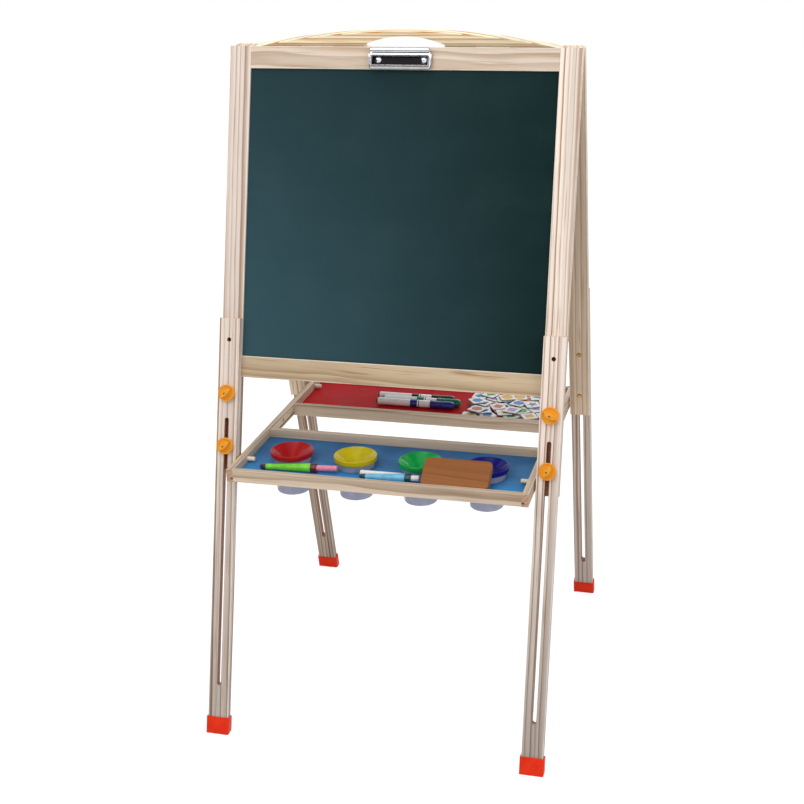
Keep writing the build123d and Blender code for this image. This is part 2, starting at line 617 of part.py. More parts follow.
def cup_lid(x):
    """A lid with a skirt over the cup's rim and a funnel down to an open neck."""
    seat = CUP_RIM_HEIGHT + LID_SEAT
    skirt_radius = CUP_RIM_RADIUS + LID_FIT
    skirt_end = LID_TOP - LID_SKIRT
    plug_radius = CUP_RIM_RADIUS - CUP_WALL - LID_FIT
    mouth = LID_TOP - FUNNEL_DEPTH
    neck_end = mouth - FUNNEL_NECK
    outer_mouth = FUNNEL_MOUTH + LID_WALL
    outline = [
        (LID_RADIUS, skirt_end), (LID_RADIUS, LID_TOP - LID_EDGE), (LID_RADIUS - LID_EDGE, LID_TOP),
        (FUNNEL_RIM, LID_TOP), (FUNNEL_MOUTH, mouth), (FUNNEL_MOUTH, neck_end), (outer_mouth, neck_end),
        (outer_mouth, mouth - LID_WALL), (plug_radius, seat - LID_WALL), (plug_radius, seat),
        (skirt_radius, seat), (skirt_radius, skirt_end),
    ]
    return Pos(x, CUP_Y, SHELF_Z) * turned(outline)


# Loose kit
def eraser_place():
    """The eraser leans from the front shelf onto the two lids behind it."""
    run = CUP_Y - LID_RADIUS - ERASER_Y
    tilt = degrees(atan2(LID_TOP + ERASER_REST_GAP, run))
    return Pos(ERASER_X, ERASER_Y, SHELF_Z + KIT_GAP) * Rot(tilt, 0, 0)


def eraser_slab(z):
    width, depth = ERASER_SIZE
    slab = span((-width / 2, width / 2), (0, depth), z)
    slab = fillet(slab.edges().filter_by(Axis.Z), ERASER_CORNER)
    return eraser_place() * slab


def lying_axis(place, radius, droop=0.0):
    """Axis of a round piece lying on the front shelf, from its start point with the given radius there."""
    x, y, turn = place
    lift = SHELF_Z + KIT_GAP + radius / cos(droop)
    return Pos(x, y, lift) * Rot(0, 0, turn) * Rot(0, 90 - degrees(droop), 0)


def rod_along(axis, radius, start, length):
    """A cylinder on an axis, from a distance along it."""
    return axis * Pos(0, 0, start + length / 2) * Cylinder(radius, length)


def chalk_set():
    """Two tapered holders, each with chalk in its socket, and a loose stick."""
    pieces = []
    for place, length, shown in zip(HOLDER_PLACES, HOLDER_LENGTHS, CHALK_SHOWN):
        droop = atan2(HOLDER_MOUTH_RADIUS - HOLDER_TIP_RADIUS, length)
        taper = Pos(0, 0, length / 2) * Cone(HOLDER_TIP_RADIUS, HOLDER_MOUTH_RADIUS, length)
        axis = lying_axis(place, HOLDER_TIP_RADIUS, droop)
        reach = (length - CHALK_SUNK, CHALK_SUNK + shown)
        pieces.append(axis * taper - rod_along(axis, CHALK_RADIUS + SNUG, *reach))
        pieces.append(rod_along(axis, CHALK_RADIUS, *reach))
    pieces.append(rod_along(lying_axis(STICK_PLACE, CHALK_RADIUS), CHALK_RADIUS, 0, STICK_LENGTH))
    return pieces


def markers():
    """Three capped markers side by side on the rear shelf."""
    pieces = []
    for i, end in enumerate(MARKER_ENDS):
        place = (MARKER_Y + i * MARKER_PITCH, SHELF_Z + KIT_GAP + MARKER_CAP_RADIUS)
        shoulder = end + MARKER_BARREL
        pieces.append(rod_x(MARKER_RADIUS, (end, shoulder), *place))
        pieces.append(rod_x(MARKER_CAP_RADIUS, (shoulder, shoulder + MARKER_CAP), *place))
    return pieces


def tiles():
    """Small square tiles heaped in two layers on the rear shelf."""
    blank = Box(TILE_SIZE, TILE_SIZE, TILE_THICKNESS)
    tile = fillet(blank.edges().filter_by(Axis.Z), TILE_ROUND)
    pieces = []
    for layer, places in enumerate(TILE_LAYERS):
        z = SHELF_Z + KIT_GAP + TILE_THICKNESS * (layer + 0.5)
        for gap, inset, turn in places:
            pieces.append(Pos(TRAY_INNER - gap, SHELF_BACK + inset, z) * Rot(0, 0, turn) * tile)
    return pieces


# Assembly
def frame_nodes(name, place, mirror):
    """Nodes that both frames have; mirror swaps left and right for the frame that is turned round."""
    nodes = {}
    for label, side in (("left", -1), ("right", 1)):
        own = side * mirror
        nodes[f"{name}_{label}_stile"] = place * stile(own)
        nodes[f"{name}_{label}_leg"] = place * leg(own)
        nodes[f"{name}_{label}_foot_cap"] = foot_cap(own, place)
        turns = FIN_TURNS[f"{name}_{label}"]
        upper = knob(own, UPPER_KNOB, FACE + LEG_GAP, turns[0])
        lower = knob(own, LOWER_KNOB, HINGE_OFFSET + INSERT_FLOOR + STUD_END_GAP, turns[1])
        nodes[f"{name}_{label}_upper_knob"] = [place * piece for piece in upper]
        nodes[f"{name}_{label}_lower_knob"] = [place * piece for piece in lower]
    nodes[f"{name}_bottom_rail"] = place * bottom_rail()
    nodes[f"{name}_frame_dowels"] = [place * piece for piece in dowels()]
    nodes[f"{name}_insert_nuts"] = [place * piece for piece in insert_nuts()]
    nodes[f"{name}_hinge_screws"] = [place * piece for piece in hinge_screws()]
    return nodes


def top_nodes():
    """Top rails, writing boards and hinges."""
    return {
        "front_top_rail": FRONT * top_rail(),
        "rear_arch_rail": REAR * arch_rail(),
        "chalkboard": FRONT * writing_board(),
        "whiteboard": REAR * writing_board(),
        "front_hinge_leaves": [FRONT * piece for piece in hinge_leaves(own=(0, 2))],
        "rear_hinge_leaves": [REAR * piece for piece in hinge_leaves(own=(1,))],
        "hinge_pins": [REAR * piece for piece in hinge_pins()],
    }


def clip_nodes():
    return {
        "clip_base": FRONT * clip_base(),
        "clip_jaw": FRONT * clip_jaw(),
        "clip_pin": FRONT * clip_pin_shape(),
        "clip_spring": FRONT * clip_spring(),
        "clip_screws": [FRONT * piece for piece in clip_screws()],
    }


def tray_nodes():
    return {
        "tray_left_rail": tray_side_rail(-1),
        "tray_right_rail": tray_side_rail(1),
        "front_tray_rails": tray_cross_rails(-1),
        "rear_tray_rails": tray_cross_rails(1),
        "front_shelf": cup_shelf(),
        "rear_shelf": shelf(1),
        "tray_pegs": tray_pegs(),
    }


def kit_nodes():
    """Paint cups with their lids, and the loose kit."""
    nodes = {}
    for colour, x in zip(("red", "yellow", "green", "blue"), CUP_XS):
        nodes[f"{colour}_cup"] = cup(x)
        nodes[f"{colour}_lid"] = cup_lid(x)
    nodes["eraser_felt"] = eraser_slab((0, ERASER_FELT))
    nodes["eraser_block"] = eraser_slab((ERASER_FELT, ERASER_FELT + ERASER_WOOD))
    nodes["chalk_holders"] = chalk_set()
    nodes["markers"] = markers()
    nodes["tiles"] = tiles()
    return nodes


def main():
    """Build every node and write one STEP file for each."""
    os.makedirs("parts", exist_ok=True)
    nodes = {
        **frame_nodes("front", FRONT, 1), **frame_nodes("rear", REAR, -1),
        **top_nodes(), **clip_nodes(), **tray_nodes(), **kit_nodes(),
    }
    for name, shape in nodes.items():
        if isinstance(shape, list):
            shape = Compound(children=shape)
        export_step(shape, f"parts/{name}.step")


if __name__ == "__main__":
    main()
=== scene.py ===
"""Looks of a double-sided folding easel for children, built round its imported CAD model.

Sizes in the classes are millimetres, as on the part's drawing. Meshes are written in metres, in the frame
that the CAD model has.
"""

import json
import logging
import math
from dataclasses import dataclass, field
from enum import Enum
from typing import Any, Callable, ClassVar, Iterable, Sequence

import bmesh
import bpy
from mathutils import Matrix, Vector


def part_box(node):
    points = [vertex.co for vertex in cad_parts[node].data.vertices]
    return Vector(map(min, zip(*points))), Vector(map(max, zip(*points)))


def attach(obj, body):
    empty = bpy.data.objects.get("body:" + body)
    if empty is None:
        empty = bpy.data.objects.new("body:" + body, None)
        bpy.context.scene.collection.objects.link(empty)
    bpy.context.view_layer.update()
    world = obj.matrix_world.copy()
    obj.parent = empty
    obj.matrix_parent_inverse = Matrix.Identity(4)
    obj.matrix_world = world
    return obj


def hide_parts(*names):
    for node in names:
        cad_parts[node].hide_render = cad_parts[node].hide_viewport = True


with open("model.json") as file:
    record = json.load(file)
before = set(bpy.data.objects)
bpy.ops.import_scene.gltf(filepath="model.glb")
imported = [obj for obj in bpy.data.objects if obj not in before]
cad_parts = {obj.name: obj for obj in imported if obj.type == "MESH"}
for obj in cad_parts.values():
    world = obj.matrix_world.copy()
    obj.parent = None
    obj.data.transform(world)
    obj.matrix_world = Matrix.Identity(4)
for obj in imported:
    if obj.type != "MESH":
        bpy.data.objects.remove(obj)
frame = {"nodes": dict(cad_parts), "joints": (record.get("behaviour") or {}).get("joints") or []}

Colour = tuple[float, float, float, float]
Outline = Sequence[tuple[float, float]]
Point = Sequence[float]
Shape = bmesh.types.BMesh
Socket = bpy.types.NodeSocket
Sockets = bpy.types.NodeOutputs
Values = dict[str | int, Any]

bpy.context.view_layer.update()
MM = 0.001
CRISP_ANGLE = 38.0  # edges that turn by more than this, in degrees, are shaded crisp
SHELF_GAP = 0.1
log = logging.getLogger("easel")


def srgb(red: int, green: int, blue: int) -> Colour:
    """Turn a screen colour from 0 to 255 into Blender's linear colour.

    Args:
        red: Red level.
        green: Green level.
        blue: Blue level.

    Returns:
        The linear colour with full alpha.
    """
    levels = [level / 255 for level in (red, green, blue)]
    linear = [v / 12.92 if v <= 0.04045 else ((v + 0.055) / 1.055) ** 2.4 for v in levels]
    return (linear[0], linear[1], linear[2], 1.0)


class NodeSheet:
    """A shader node tree with short calls that add and join its nodes."""

    def __init__(self, tree: bpy.types.NodeTree) -> None:
        """Keep the tree that the calls write to."""
        self.tree = tree

    @classmethod
    def blank(cls, owner: bpy.types.Material | bpy.types.World) -> "NodeSheet":
        """Clear the node tree of a material or a world.

        Args:
            owner: The material or world.

        Returns:
            Its empty sheet.
        """
        owner.use_nodes = True
        owner.node_tree.nodes.clear()
        return cls(owner.node_tree)

    def feed(self, socket: Socket, value: Any) -> None:
        """Join a socket to another socket, or set it to a plain value.

        Args:
            socket: The input to feed.
            value: An output socket, or the value itself.
        """
        if isinstance(value, Socket):
            self.tree.links.new(value, socket)
        else:
            socket.default_value = value

    def fill(self, node: bpy.types.Node, inputs: Values) -> None:
        """Feed a node's inputs by name or number."""
        for key, value in inputs.items():
            self.feed(node.inputs[key], value)

    def add(self, kind: str, inputs: Values | None = None, **settings: Any) -> bpy.types.Node:
        """Add a node.

        Args:
            kind: Node type without its ShaderNode prefix.
            inputs: Values or sockets by input name or number.
            settings: Properties of the node itself.

        Returns:
            The new node.
        """
        node = self.tree.nodes.new("ShaderNode" + kind)
        for key, value in settings.items():
            setattr(node, key, value)
        self.fill(node, inputs or {})
        return node

    def math(self, operation: str, *values: Any) -> Socket:
        """Result of a Math node on the given values."""
        return self.add("Math", dict(enumerate(values)), operation=operation).outputs[0]

    def vector(self, operation: str, *values: Any) -> Socket:
        """Result of a Vector Math node on the given values."""
        return self.add("VectorMath", dict(enumerate(values)), operation=operation).outputs["Vector"]

    def scaled(self, vector: Any, factor: Any) -> Socket:
        """A vector or colour times one number."""
        return self.add("VectorMath", {0: vector, "Scale": factor}, operation="SCALE").outputs["Vector"]

    def length(self, vector: Any) -> Socket:
        """Length of a vector."""
        return self.add("VectorMath", {0: vector}, operation="LENGTH").outputs["Value"]

    def axes(self, vector: Any) -> Sockets:
        """X, Y and Z of a vector."""
        return self.add("SeparateXYZ", {0: vector}).outputs

    def weighted(self, first: Any, weight: float, second: Any, other: float) -> Socket:
        """Sum of two values, each times its weight."""
        return self.math("ADD", self.math("MULTIPLY", first, weight), self.math("MULTIPLY", second, other))

    def noise(self, vector: Any, scale: Any = 1.0, detail: float = 2.0, output: str | int = 0) -> Socket:
        """Level of a noise texture on a vector, or another of its outputs."""
        return self.add("TexNoise", {"Vector": vector, "Scale": scale, "Detail": detail}).outputs[output]

    def strokes(self, vector: Any, turn: Point, scale: Point, detail: float) -> Socket:
        """Level of a noise that is drawn out into strokes.

        Args:
            vector: Where it is read.
            turn: Which way the strokes run, in radians about X, Y and Z.
            scale: How fine the noise is along X, Y and Z.
            detail: How rough the strokes are.

        Returns:
            The level.
        """
        turned_to = self.add("Mapping", {"Vector": vector, "Rotation": turn, "Scale": scale})
        return self.noise(turned_to.outputs[0], 1.0, detail)

    def spread(self, value: Any, old: tuple[float, float], new: tuple[Any, Any]) -> Socket:
        """Map one range of a value smoothly to another.

        Args:
            value: The value to map.
            old: Its range.
            new: The range it gets.

        Returns:
            The mapped value.
        """
        inputs = {"Value": value, "From Min": old[0], "From Max": old[1], "To Min": new[0], "To Max": new[1]}
        return self.add("MapRange", inputs, interpolation_type="SMOOTHSTEP").outputs[0]

    def mix(self, factor: Any, first: Any, second: Any) -> Socket:
        """Mix of two colours."""
        return self.add("Mix", {0: factor, 6: first, 7: second}, data_type="RGBA").outputs[2]

    def ramp(self, value: Any, stops: Sequence[tuple[float, float]]) -> Socket:
        """Grey ramp over a value.

        Args:
            value: The value that runs along the ramp.
            stops: Position and grey level of each stop.

        Returns:
            The ramp's grey level.
        """
        node = self.add("ValToRGB", {0: value})
        elements = node.color_ramp.elements
        elements.remove(elements[1])
        elements[0].position = stops[0][0]
        elements[0].color = (stops[0][1],) * 3 + (1.0,)
        for position, level in stops[1:]:
            elements.new(position).color = (level, level, level, 1.0)
        return node.outputs[0]

    def place(self) -> Socket:
        """Object coordinates, which are the CAD frame in metres."""
        return self.add("TexCoord").outputs["Object"]

    def board_place(self, space: Matrix) -> Socket:
        """Object coordinates carried into a board's own space.

        Args:
            space: Carries the CAD frame into the board's space, in millimetres.

        Returns:
            Coordinates in the board's space, in metres.
        """
        turn = space.to_euler("XYZ")
        inputs = {"Vector": self.place(), "Location": space.to_translation() * MM, "Rotation": turn}
        return self.add("Mapping", inputs).outputs[0]

    def bump(self, height: Any, strength: float, distance: float) -> Socket:
        """Normal of a Bump node, with its depth in metres."""
        return self.add("Bump", {"Height": height, "Strength": strength, "Distance": distance}).outputs[0]


class EffectGroup:
    """A shader node group that several finishes share; each kind states its sockets and wires its nodes."""

    name = ""
    inputs: dict[str, tuple[str, Any]] = {}
    outputs: dict[str, str] = {}

    def wire(self, sheet: NodeSheet, given: Sockets) -> dict[str, Socket]:
        """Add the group's nodes and return the socket for each output."""
        raise NotImplementedError

    def tree(self) -> bpy.types.NodeTree:
        """Build the group once.

        Returns:
            The group's node tree.
        """
        tree = bpy.data.node_groups.get(self.name)
        if tree is None:
            tree = bpy.data.node_groups.new(self.name, "ShaderNodeTree")
            for label, (kind, default) in self.inputs.items():
                socket = tree.interface.new_socket(label, in_out="INPUT", socket_type="NodeSocket" + kind)
                socket.default_value = default
            for label, kind in self.outputs.items():
                tree.interface.new_socket(label, in_out="OUTPUT", socket_type="NodeSocket" + kind)
            given = tree.nodes.new("NodeGroupInput").outputs
            taken = tree.nodes.new("NodeGroupOutput").inputs
            for label, socket in self.wire(NodeSheet(tree), given).items():
                tree.links.new(socket, taken[label])
        return tree

    def use(self, sheet: NodeSheet, values: Values) -> Sockets:
        """Place the group in a material and return its outputs."""
        return sheet.add("Group", values, node_tree=self.tree()).outputs


class PineGrain(EffectGroup):
    """Softwood: growth rings round a pith line along X, with fibres, resin streaks and drifts of tone."""

    name = "pine_grain"
    inputs = {
        "Vector": ("Vector", (0.0, 0.0, 0.0)), "Pith": ("Vector", (0.0, 0.05, -0.03)),
        "Ring Spacing": ("Float", 0.006), "Waviness": ("Float", 0.004), "Contrast": ("Float", 1.0),
        "Seed": ("Float", 0.0), "Pale": ("Color", (0.7, 0.6, 0.5, 1.0)),
        "Dark": ("Color", (0.4, 0.3, 0.2, 1.0)),
    }
    outputs = {"Color": "Color", "Roughness": "Float", "Height": "Float"}
    growth = ((0.0, 0.0), (0.28, 0.05), (0.58, 0.32), (0.82, 0.9), (0.93, 1.0), (1.0, 0.0))

    def wire(self, sheet: NodeSheet, given: Sockets) -> dict[str, Socket]:
        """Wire rings, fibres and tone.

        Args:
            sheet: The group's tree.
            given: The group's inputs.

        Returns:
            Colour, roughness and height.
        """
        seed = sheet.scaled((13.1, 7.7, 3.3), given["Seed"])

        def stretched(along: float, across: float, detail: float = 2.0, output: str | int = 0) -> Socket:
            """Noise that runs along the grain."""
            vector = sheet.vector("MULTIPLY_ADD", given["Vector"], (along, across, across), seed)
            return sheet.noise(vector, 1.0, detail, output)

        drift = sheet.vector("SUBTRACT", stretched(4.5, 24.0, output="Color"), (0.5, 0.5, 0.5))
        reach = sheet.math("MULTIPLY", given["Waviness"], 2.0)
        bent = sheet.vector("ADD", given["Vector"], sheet.scaled(drift, reach))
        offset = sheet.vector("MULTIPLY", sheet.vector("SUBTRACT", bent, given["Pith"]), (0.0, 1.0, 1.0))
        radius = sheet.length(offset)
        depth = {"W": sheet.math("MULTIPLY", radius, 95.0), "Scale": 1.0}
        uneven = sheet.add("TexNoise", depth, noise_dimensions="1D").outputs[0]
        ring = sheet.math("DIVIDE", radius, given["Ring Spacing"])
        ring = sheet.math("ADD", ring, sheet.math("MULTIPLY", uneven, 1.6))
        ring = sheet.math("ADD", ring, given["Seed"])
        late = sheet.ramp(sheet.math("FRACT", ring), self.growth)
        year = sheet.add("TexWhiteNoise", {"W": sheet.math("FLOOR", ring)}, noise_dimensions="1D").outputs[0]
        band = sheet.math("MULTIPLY", late, sheet.spread(year, (0.0, 1.0), (0.35, 1.0)))
        band = sheet.math("MULTIPLY", band, sheet.spread(stretched(3.0, 60.0), (0.3, 0.7), (0.7, 1.15)))
        band = sheet.math("MULTIPLY", band, given["Contrast"])
        fibre = stretched(26.0, 1150.0, 3.0)
        resin = sheet.spread(stretched(10.0, 430.0, 1.0), (0.6, 0.74), (0.0, 0.4))
        tone = sheet.spread(stretched(1.8, 46.0), (0.3, 0.7), (0.86, 1.07))
        tone = sheet.math("MULTIPLY", tone, sheet.spread(fibre, (0.25, 0.75), (0.94, 1.05)))
        colour = sheet.mix(band, given["Pale"], given["Dark"])
        colour = sheet.mix(sheet.math("MULTIPLY", resin, given["Contrast"]), colour, given["Dark"])
        rough = sheet.spread(fibre, (0.2, 0.8), (0.4, 0.56))
        rough = sheet.math("ADD", rough, sheet.math("MULTIPLY", band, 0.05))
        height = sheet.weighted(fibre, 0.7, band, -0.4)
        return {"Color": sheet.scaled(colour, tone), "Roughness": rough, "Height": height}


class MouldedSkin(EffectGroup):
    """Moulded plastic: cloudy flow marks and a fine orange-peel skin."""

    name = "moulded_skin"
    inputs = {"Vector": ("Vector", (0.0, 0.0, 0.0)), "Scale": ("Float", 60.0)}
    outputs = {"Mottle": "Float", "Height": "Float"}

    def wire(self, sheet: NodeSheet, given: Sockets) -> dict[str, Socket]:
        """Wire the two noises.

        Args:
            sheet: The group's tree.
            given: The group's inputs.

        Returns:
            Mottle from 0 to 1, and height.
        """
        cloud = sheet.noise(given["Vector"], given["Scale"], 3.0)
        peel = sheet.noise(given["Vector"], sheet.math("MULTIPLY", given["Scale"], 22.0), 1.0)
        return {"Mottle": sheet.spread(cloud, (0.3, 0.7), (0.0, 1.0)), "Height": peel}


class RubMarks(EffectGroup):
    """Hairline scratches in patches, from handling."""

    name = "rub_marks"
    inputs = {"Vector": ("Vector", (0.0, 0.0, 0.0)), "Amount": ("Float", 0.5)}
    outputs = {"Mask": "Float"}

    def wire(self, sheet: NodeSheet, given: Sockets) -> dict[str, Socket]:
        """Wire two crossed sets of hairlines inside soft patches.

        Args:
            sheet: The group's tree.
            given: The group's inputs.

        Returns:
            The mask of scratched surface.
        """
        lines = []
        for turn in ((0.3, 0.2, 0.5), (-0.4, 0.3, -0.9)):
            line = sheet.strokes(given["Vector"], turn, (22.0, 1500.0, 1500.0), 1.0)
            lines.append(sheet.spread(line, (0.66, 0.76), (0.0, 1.0)))
        patch = sheet.spread(sheet.noise(given["Vector"], 24.0), (0.42, 0.62), (0.0, 1.0))
        mask = sheet.math("MULTIPLY", sheet.math("MAXIMUM", *lines), patch)
        return {"Mask": sheet.math("MULTIPLY", mask, given["Amount"])}


class KitDust(EffectGroup):
    """Chalk dust: soft drifts with fine specks in them."""

    name = "kit_dust"
    inputs = {"Vector": ("Vector", (0.0, 0.0, 0.0)), "Amount": ("Float", 0.3)}
    outputs = {"Mask": "Float"}

    def wire(self, sheet: NodeSheet, given: Sockets) -> dict[str, Socket]:
        """Wire drifts and specks.

        Args:
            sheet: The group's tree.
            given: The group's inputs.

        Returns:
            The mask of dusty surface.
        """
        drift = sheet.spread(sheet.noise(given["Vector"], 14.0, 3.0), (0.4, 0.75), (0.0, 0.6))
        speck = sheet.spread(sheet.noise(given["Vector"], 620.0), (0.55, 0.75), (0.15, 1.0))
        mask = sheet.math("MULTIPLY", drift, speck)
        return {"Mask": sheet.math("MULTIPLY", mask, given["Amount"])}


@dataclass(frozen=True)
class Finish:
    """A named surface; each kind paints its own material."""

    name: str

    def paint(self, sheet: NodeSheet, shader: bpy.types.Node) -> None:
        """Join the finish's nodes to its shader."""
        raise NotImplementedError

    def material(self) -> bpy.types.Material:
        """Make the material once.

        Returns:
            The finish's material.
        """
        made = bpy.data.materials.get(self.name)
        if made is None:
            made = bpy.data.materials.new(self.name)
            sheet = NodeSheet.blank(made)
            shader = sheet.add("BsdfPrincipled")
            sheet.add("OutputMaterial", {"Surface": shader.outputs[0]})
            self.paint(sheet, shader)
        return made

    def dress(self, node: str) -> None:
        """Give a CAD node this finish.

        Args:
            node: Name of the node.
        """
        slots = frame["nodes"][node].data.materials
        slots.clear()
        slots.append(self.material())
        log.info("%s dressed in %s", node, self.name)


class Wood(Enum):
    """Tones of the timber: pale early wood and dark late wood."""

    LEFT_STILE = (srgb(238, 222, 210), srgb(174, 140, 114))
    RIGHT_STILE = (srgb(246, 232, 219), srgb(178, 136, 102))
    TOP_RAIL = (srgb(230, 212, 192), srgb(174, 136, 102))
    LOW_RAIL = (srgb(202, 178, 146), srgb(138, 96, 54))
    # The arch's pale tone is raised above the other rear boards' as painted light on its inner face.
    ARCH = (srgb(255, 247, 216), srgb(200, 144, 84))
    REAR = (srgb(240, 217, 190), srgb(178, 138, 102))
    LEG = (srgb(240, 224, 212), srgb(164, 132, 106))
    # The rear legs are darker copies of the rear timber, the left one most, as painted shade.
    REAR_LEFT_LEG = (srgb(196, 177, 160), srgb(132, 104, 82))
    REAR_RIGHT_LEG = (srgb(217, 201, 189), srgb(148, 120, 98))
    TRAY = (srgb(222, 201, 177), srgb(150, 116, 86))
    PEG = (srgb(242, 226, 205), srgb(198, 162, 124))
    CARAMEL = (srgb(154, 93, 42), srgb(108, 58, 22))


class Grain(Enum):
    """Which way a board's grain runs: rows give its length, width and thickness in the board's own space."""

    UPRIGHT = ((0, 0, 1), (1, 0, 0), (0, 1, 0))
    ACROSS = ((1, 0, 0), (0, 0, 1), (0, -1, 0))
    DEEP = ((0, 1, 0), (0, 0, 1), (1, 0, 0))
    FLAT = ((1, 0, 0), (0, 1, 0), (0, 0, 1))

    def matrix(self) -> Matrix:
        """Turn that brings the grain onto X."""
        return Matrix(self.value).to_4x4()


@dataclass(frozen=True)
class Timber(Finish):
    """Lacquered board; its grain follows the board's own length, width and thickness.

    home carries the panel frame's space into the CAD frame, and middle is the board's middle in that space.
    pith is where the heart of the log lay, along the width and the thickness, and ring is the rings' spacing.
    slot and bore lie along the length, the walls in and behind them take painted shade, and past end the wood
    is bare end grain.
    soil is how much painted shade darkens the lower part, section is half the width and thickness along whose
    edges a painted highlight runs, and seam is where the painted shadow against the other frame's rail fades
    out.
    """

    face_layer: ClassVar[float] = -5.8  # what lies past this, along the thickness, is one face of a board
    stud_reach: ClassVar[float] = 3.35
    # Span along the board over which painted shade darkens it towards its lower end.
    soil_span: ClassVar[tuple[float, float]] = (-340.0, 260.0)
    relief_depth: ClassVar[float] = 0.4
    # Colour of bare end grain, and of painted shade on the walls in and behind slots and bores.
    raw: ClassVar[Colour] = srgb(172, 108, 64)
    # Colour of the painted highlight along the eased edges.
    rubbed: ClassVar[Colour] = srgb(252, 240, 226)
    # Colour of the painted shadow along the seam against the other frame's rail.
    dust: ClassVar[Colour] = srgb(128, 92, 58)
    wood: Wood = Wood.LEFT_STILE
    grain: Grain = Grain.UPRIGHT
    home: Matrix = field(default_factory=Matrix.Identity)
    middle: tuple[float, float, float] = (0.0, 0.0, 0.0)
    pith: tuple[float, float] = (52.0, -34.0)
    ring: float = 6.2
    waviness: float = 4.0
    contrast: float = 0.75
    drift: float = 0.6
    seed: float = 0.0
    relief: float = 0.12
    slot: tuple[float, float] | None = None
    bore: float | None = None
    outer_only: bool = False
    soil: float = 0.0
    end: float | None = None
    section: tuple[float, float] | None = None
    seam: tuple[float, float] | None = None

    def paint(self, sheet: NodeSheet, shader: bpy.types.Node) -> None:
        """Join the wood grain to the shader.

        Args:
            sheet: The material's tree.
            shader: Its shader.
        """
        board = sheet.board_place(
            self.grain.matrix() @ Matrix.Translation(-Vector(self.middle)) @ self.home.inverted())
        along = {"Vector": board, "Rotation": (0.0, 0.0, math.radians(self.drift))}
        pale, dark = self.wood.value
        grain = PineGrain().use(sheet, {
            "Vector": sheet.add("Mapping", along).outputs[0],
            "Pith": (0.0, self.pith[0] * MM, self.pith[1] * MM), "Ring Spacing": self.ring * MM,
            "Waviness": self.waviness * MM, "Contrast": self.contrast, "Seed": self.seed, "Pale": pale,
            "Dark": dark,
        })
        colour = grain["Color"]
        # Painted shade: the colour darkens towards the board's lower end.
        if self.soil > 0.0:
            span = (self.soil_span[0] * MM, self.soil_span[1] * MM)
            tone = sheet.spread(sheet.axes(board)["X"], span, (1.0 - self.soil, 1.03))
            colour = sheet.scaled(colour, tone)
        # Painted shadow on the inner face, along the strip next to the other frame's rail.
        if self.seam is not None:
            colour = sheet.mix(self.dusty_seam(sheet, board), colour, self.dust)
        # Painted highlight along the eased long edges, in patches.
        if self.section is not None:
            colour = sheet.mix(self.eased_edges(sheet, board), colour, self.rubbed)
        # Darker bare end grain, and painted shade in and behind slots and bores.
        if self.slot is not None or self.end is not None:
            colour = sheet.mix(self.raw_wood(sheet, board), colour, self.raw)
        sheet.fill(shader, {
            "Base Color": colour, "Roughness": grain["Roughness"], "Specular IOR Level": 0.3,
            "Normal": sheet.bump(grain["Height"], self.relief, self.relief_depth * MM),
        })

    def dusty_seam(self, sheet: NodeSheet, board: Socket) -> Socket:
        """Mask of the painted shadow on the inner face's strip next to the other frame's rail.

        Args:
            sheet: The material's tree.
            board: Coordinates along the board's length, width and thickness.

        Returns:
            The mask.
        """
        axes = sheet.axes(board)
        strip = sheet.spread(axes["Y"], (self.seam[0] * MM, self.seam[1] * MM), (0.65, 0.0))
        return sheet.math("MULTIPLY", strip, sheet.math("LESS_THAN", axes["Z"], self.face_layer * MM))

    def eased_edges(self, sheet: NodeSheet, board: Socket) -> Socket:
        """Mask of a painted highlight along the sanded long edges, broken into patches.

        Args:
            sheet: The material's tree.
            board: Coordinates along the board's length, width and thickness.

        Returns:
            The mask.
        """
        axes = sheet.axes(board)
        mask = sheet.spread(sheet.noise(board, 28.0), (0.35, 0.65), (0.4, 0.85))
        for axis, half in zip(("Y", "Z"), self.section):
            rim = ((half - 1.5) * MM, (half - 0.3) * MM)
            near = sheet.spread(sheet.math("ABSOLUTE", axes[axis]), rim, (0.0, 1.0))
            mask = sheet.math("MULTIPLY", mask, near)
        return mask

    def raw_wood(self, sheet: NodeSheet, board: Socket) -> Socket:
        """Mask of the board's bare ends, or of painted shade on the walls in and behind a slot and a bore.

        Args:
            sheet: The material's tree.
            board: Coordinates along the board's length, width and thickness.

        Returns:
            The mask.
        """
        axes = sheet.axes(board)
        if self.slot is None:
            reach = sheet.math("ABSOLUTE", axes["X"])
            return sheet.math("MULTIPLY", sheet.math("GREATER_THAN", reach, self.end * MM), 0.5)
        mask = self.near(sheet, axes, self.slot)
        if self.bore is not None:
            mask = sheet.math("MAXIMUM", mask, self.near(sheet, axes, (self.bore, self.bore)))
        if self.outer_only:
            mask = sheet.math("MULTIPLY", mask, sheet.math("LESS_THAN", axes["Z"], self.face_layer * MM))
        # Blotches that break up the painted shade.
        shade_blotch = sheet.spread(sheet.noise(board, 300.0, 3.0), (0.3, 0.7), (0.7, 1.0))
        return sheet.math("MULTIPLY", mask, shade_blotch)

    def near(self, sheet: NodeSheet, axes: Sockets, ends: tuple[float, float]) -> Socket:
        """Mask of what lies within a stud's radius of a line along the board.

        Args:
            sheet: The material's tree.
            axes: Coordinates along the board's length, width and thickness.
            ends: The line's two ends along the board's length.

        Returns:
            The mask.
        """
        middle, half = sum(ends) / 2 * MM, abs(ends[1] - ends[0]) / 2 * MM
        along = sheet.math("ABSOLUTE", sheet.math("SUBTRACT", axes["X"], middle))
        past = sheet.math("MAXIMUM", sheet.math("SUBTRACT", along, half), 0.0)
        away = sheet.add("CombineXYZ", {"X": past, "Y": axes["Y"]}).outputs[0]
        return sheet.math("LESS_THAN", sheet.length(away), self.stud_reach * MM)


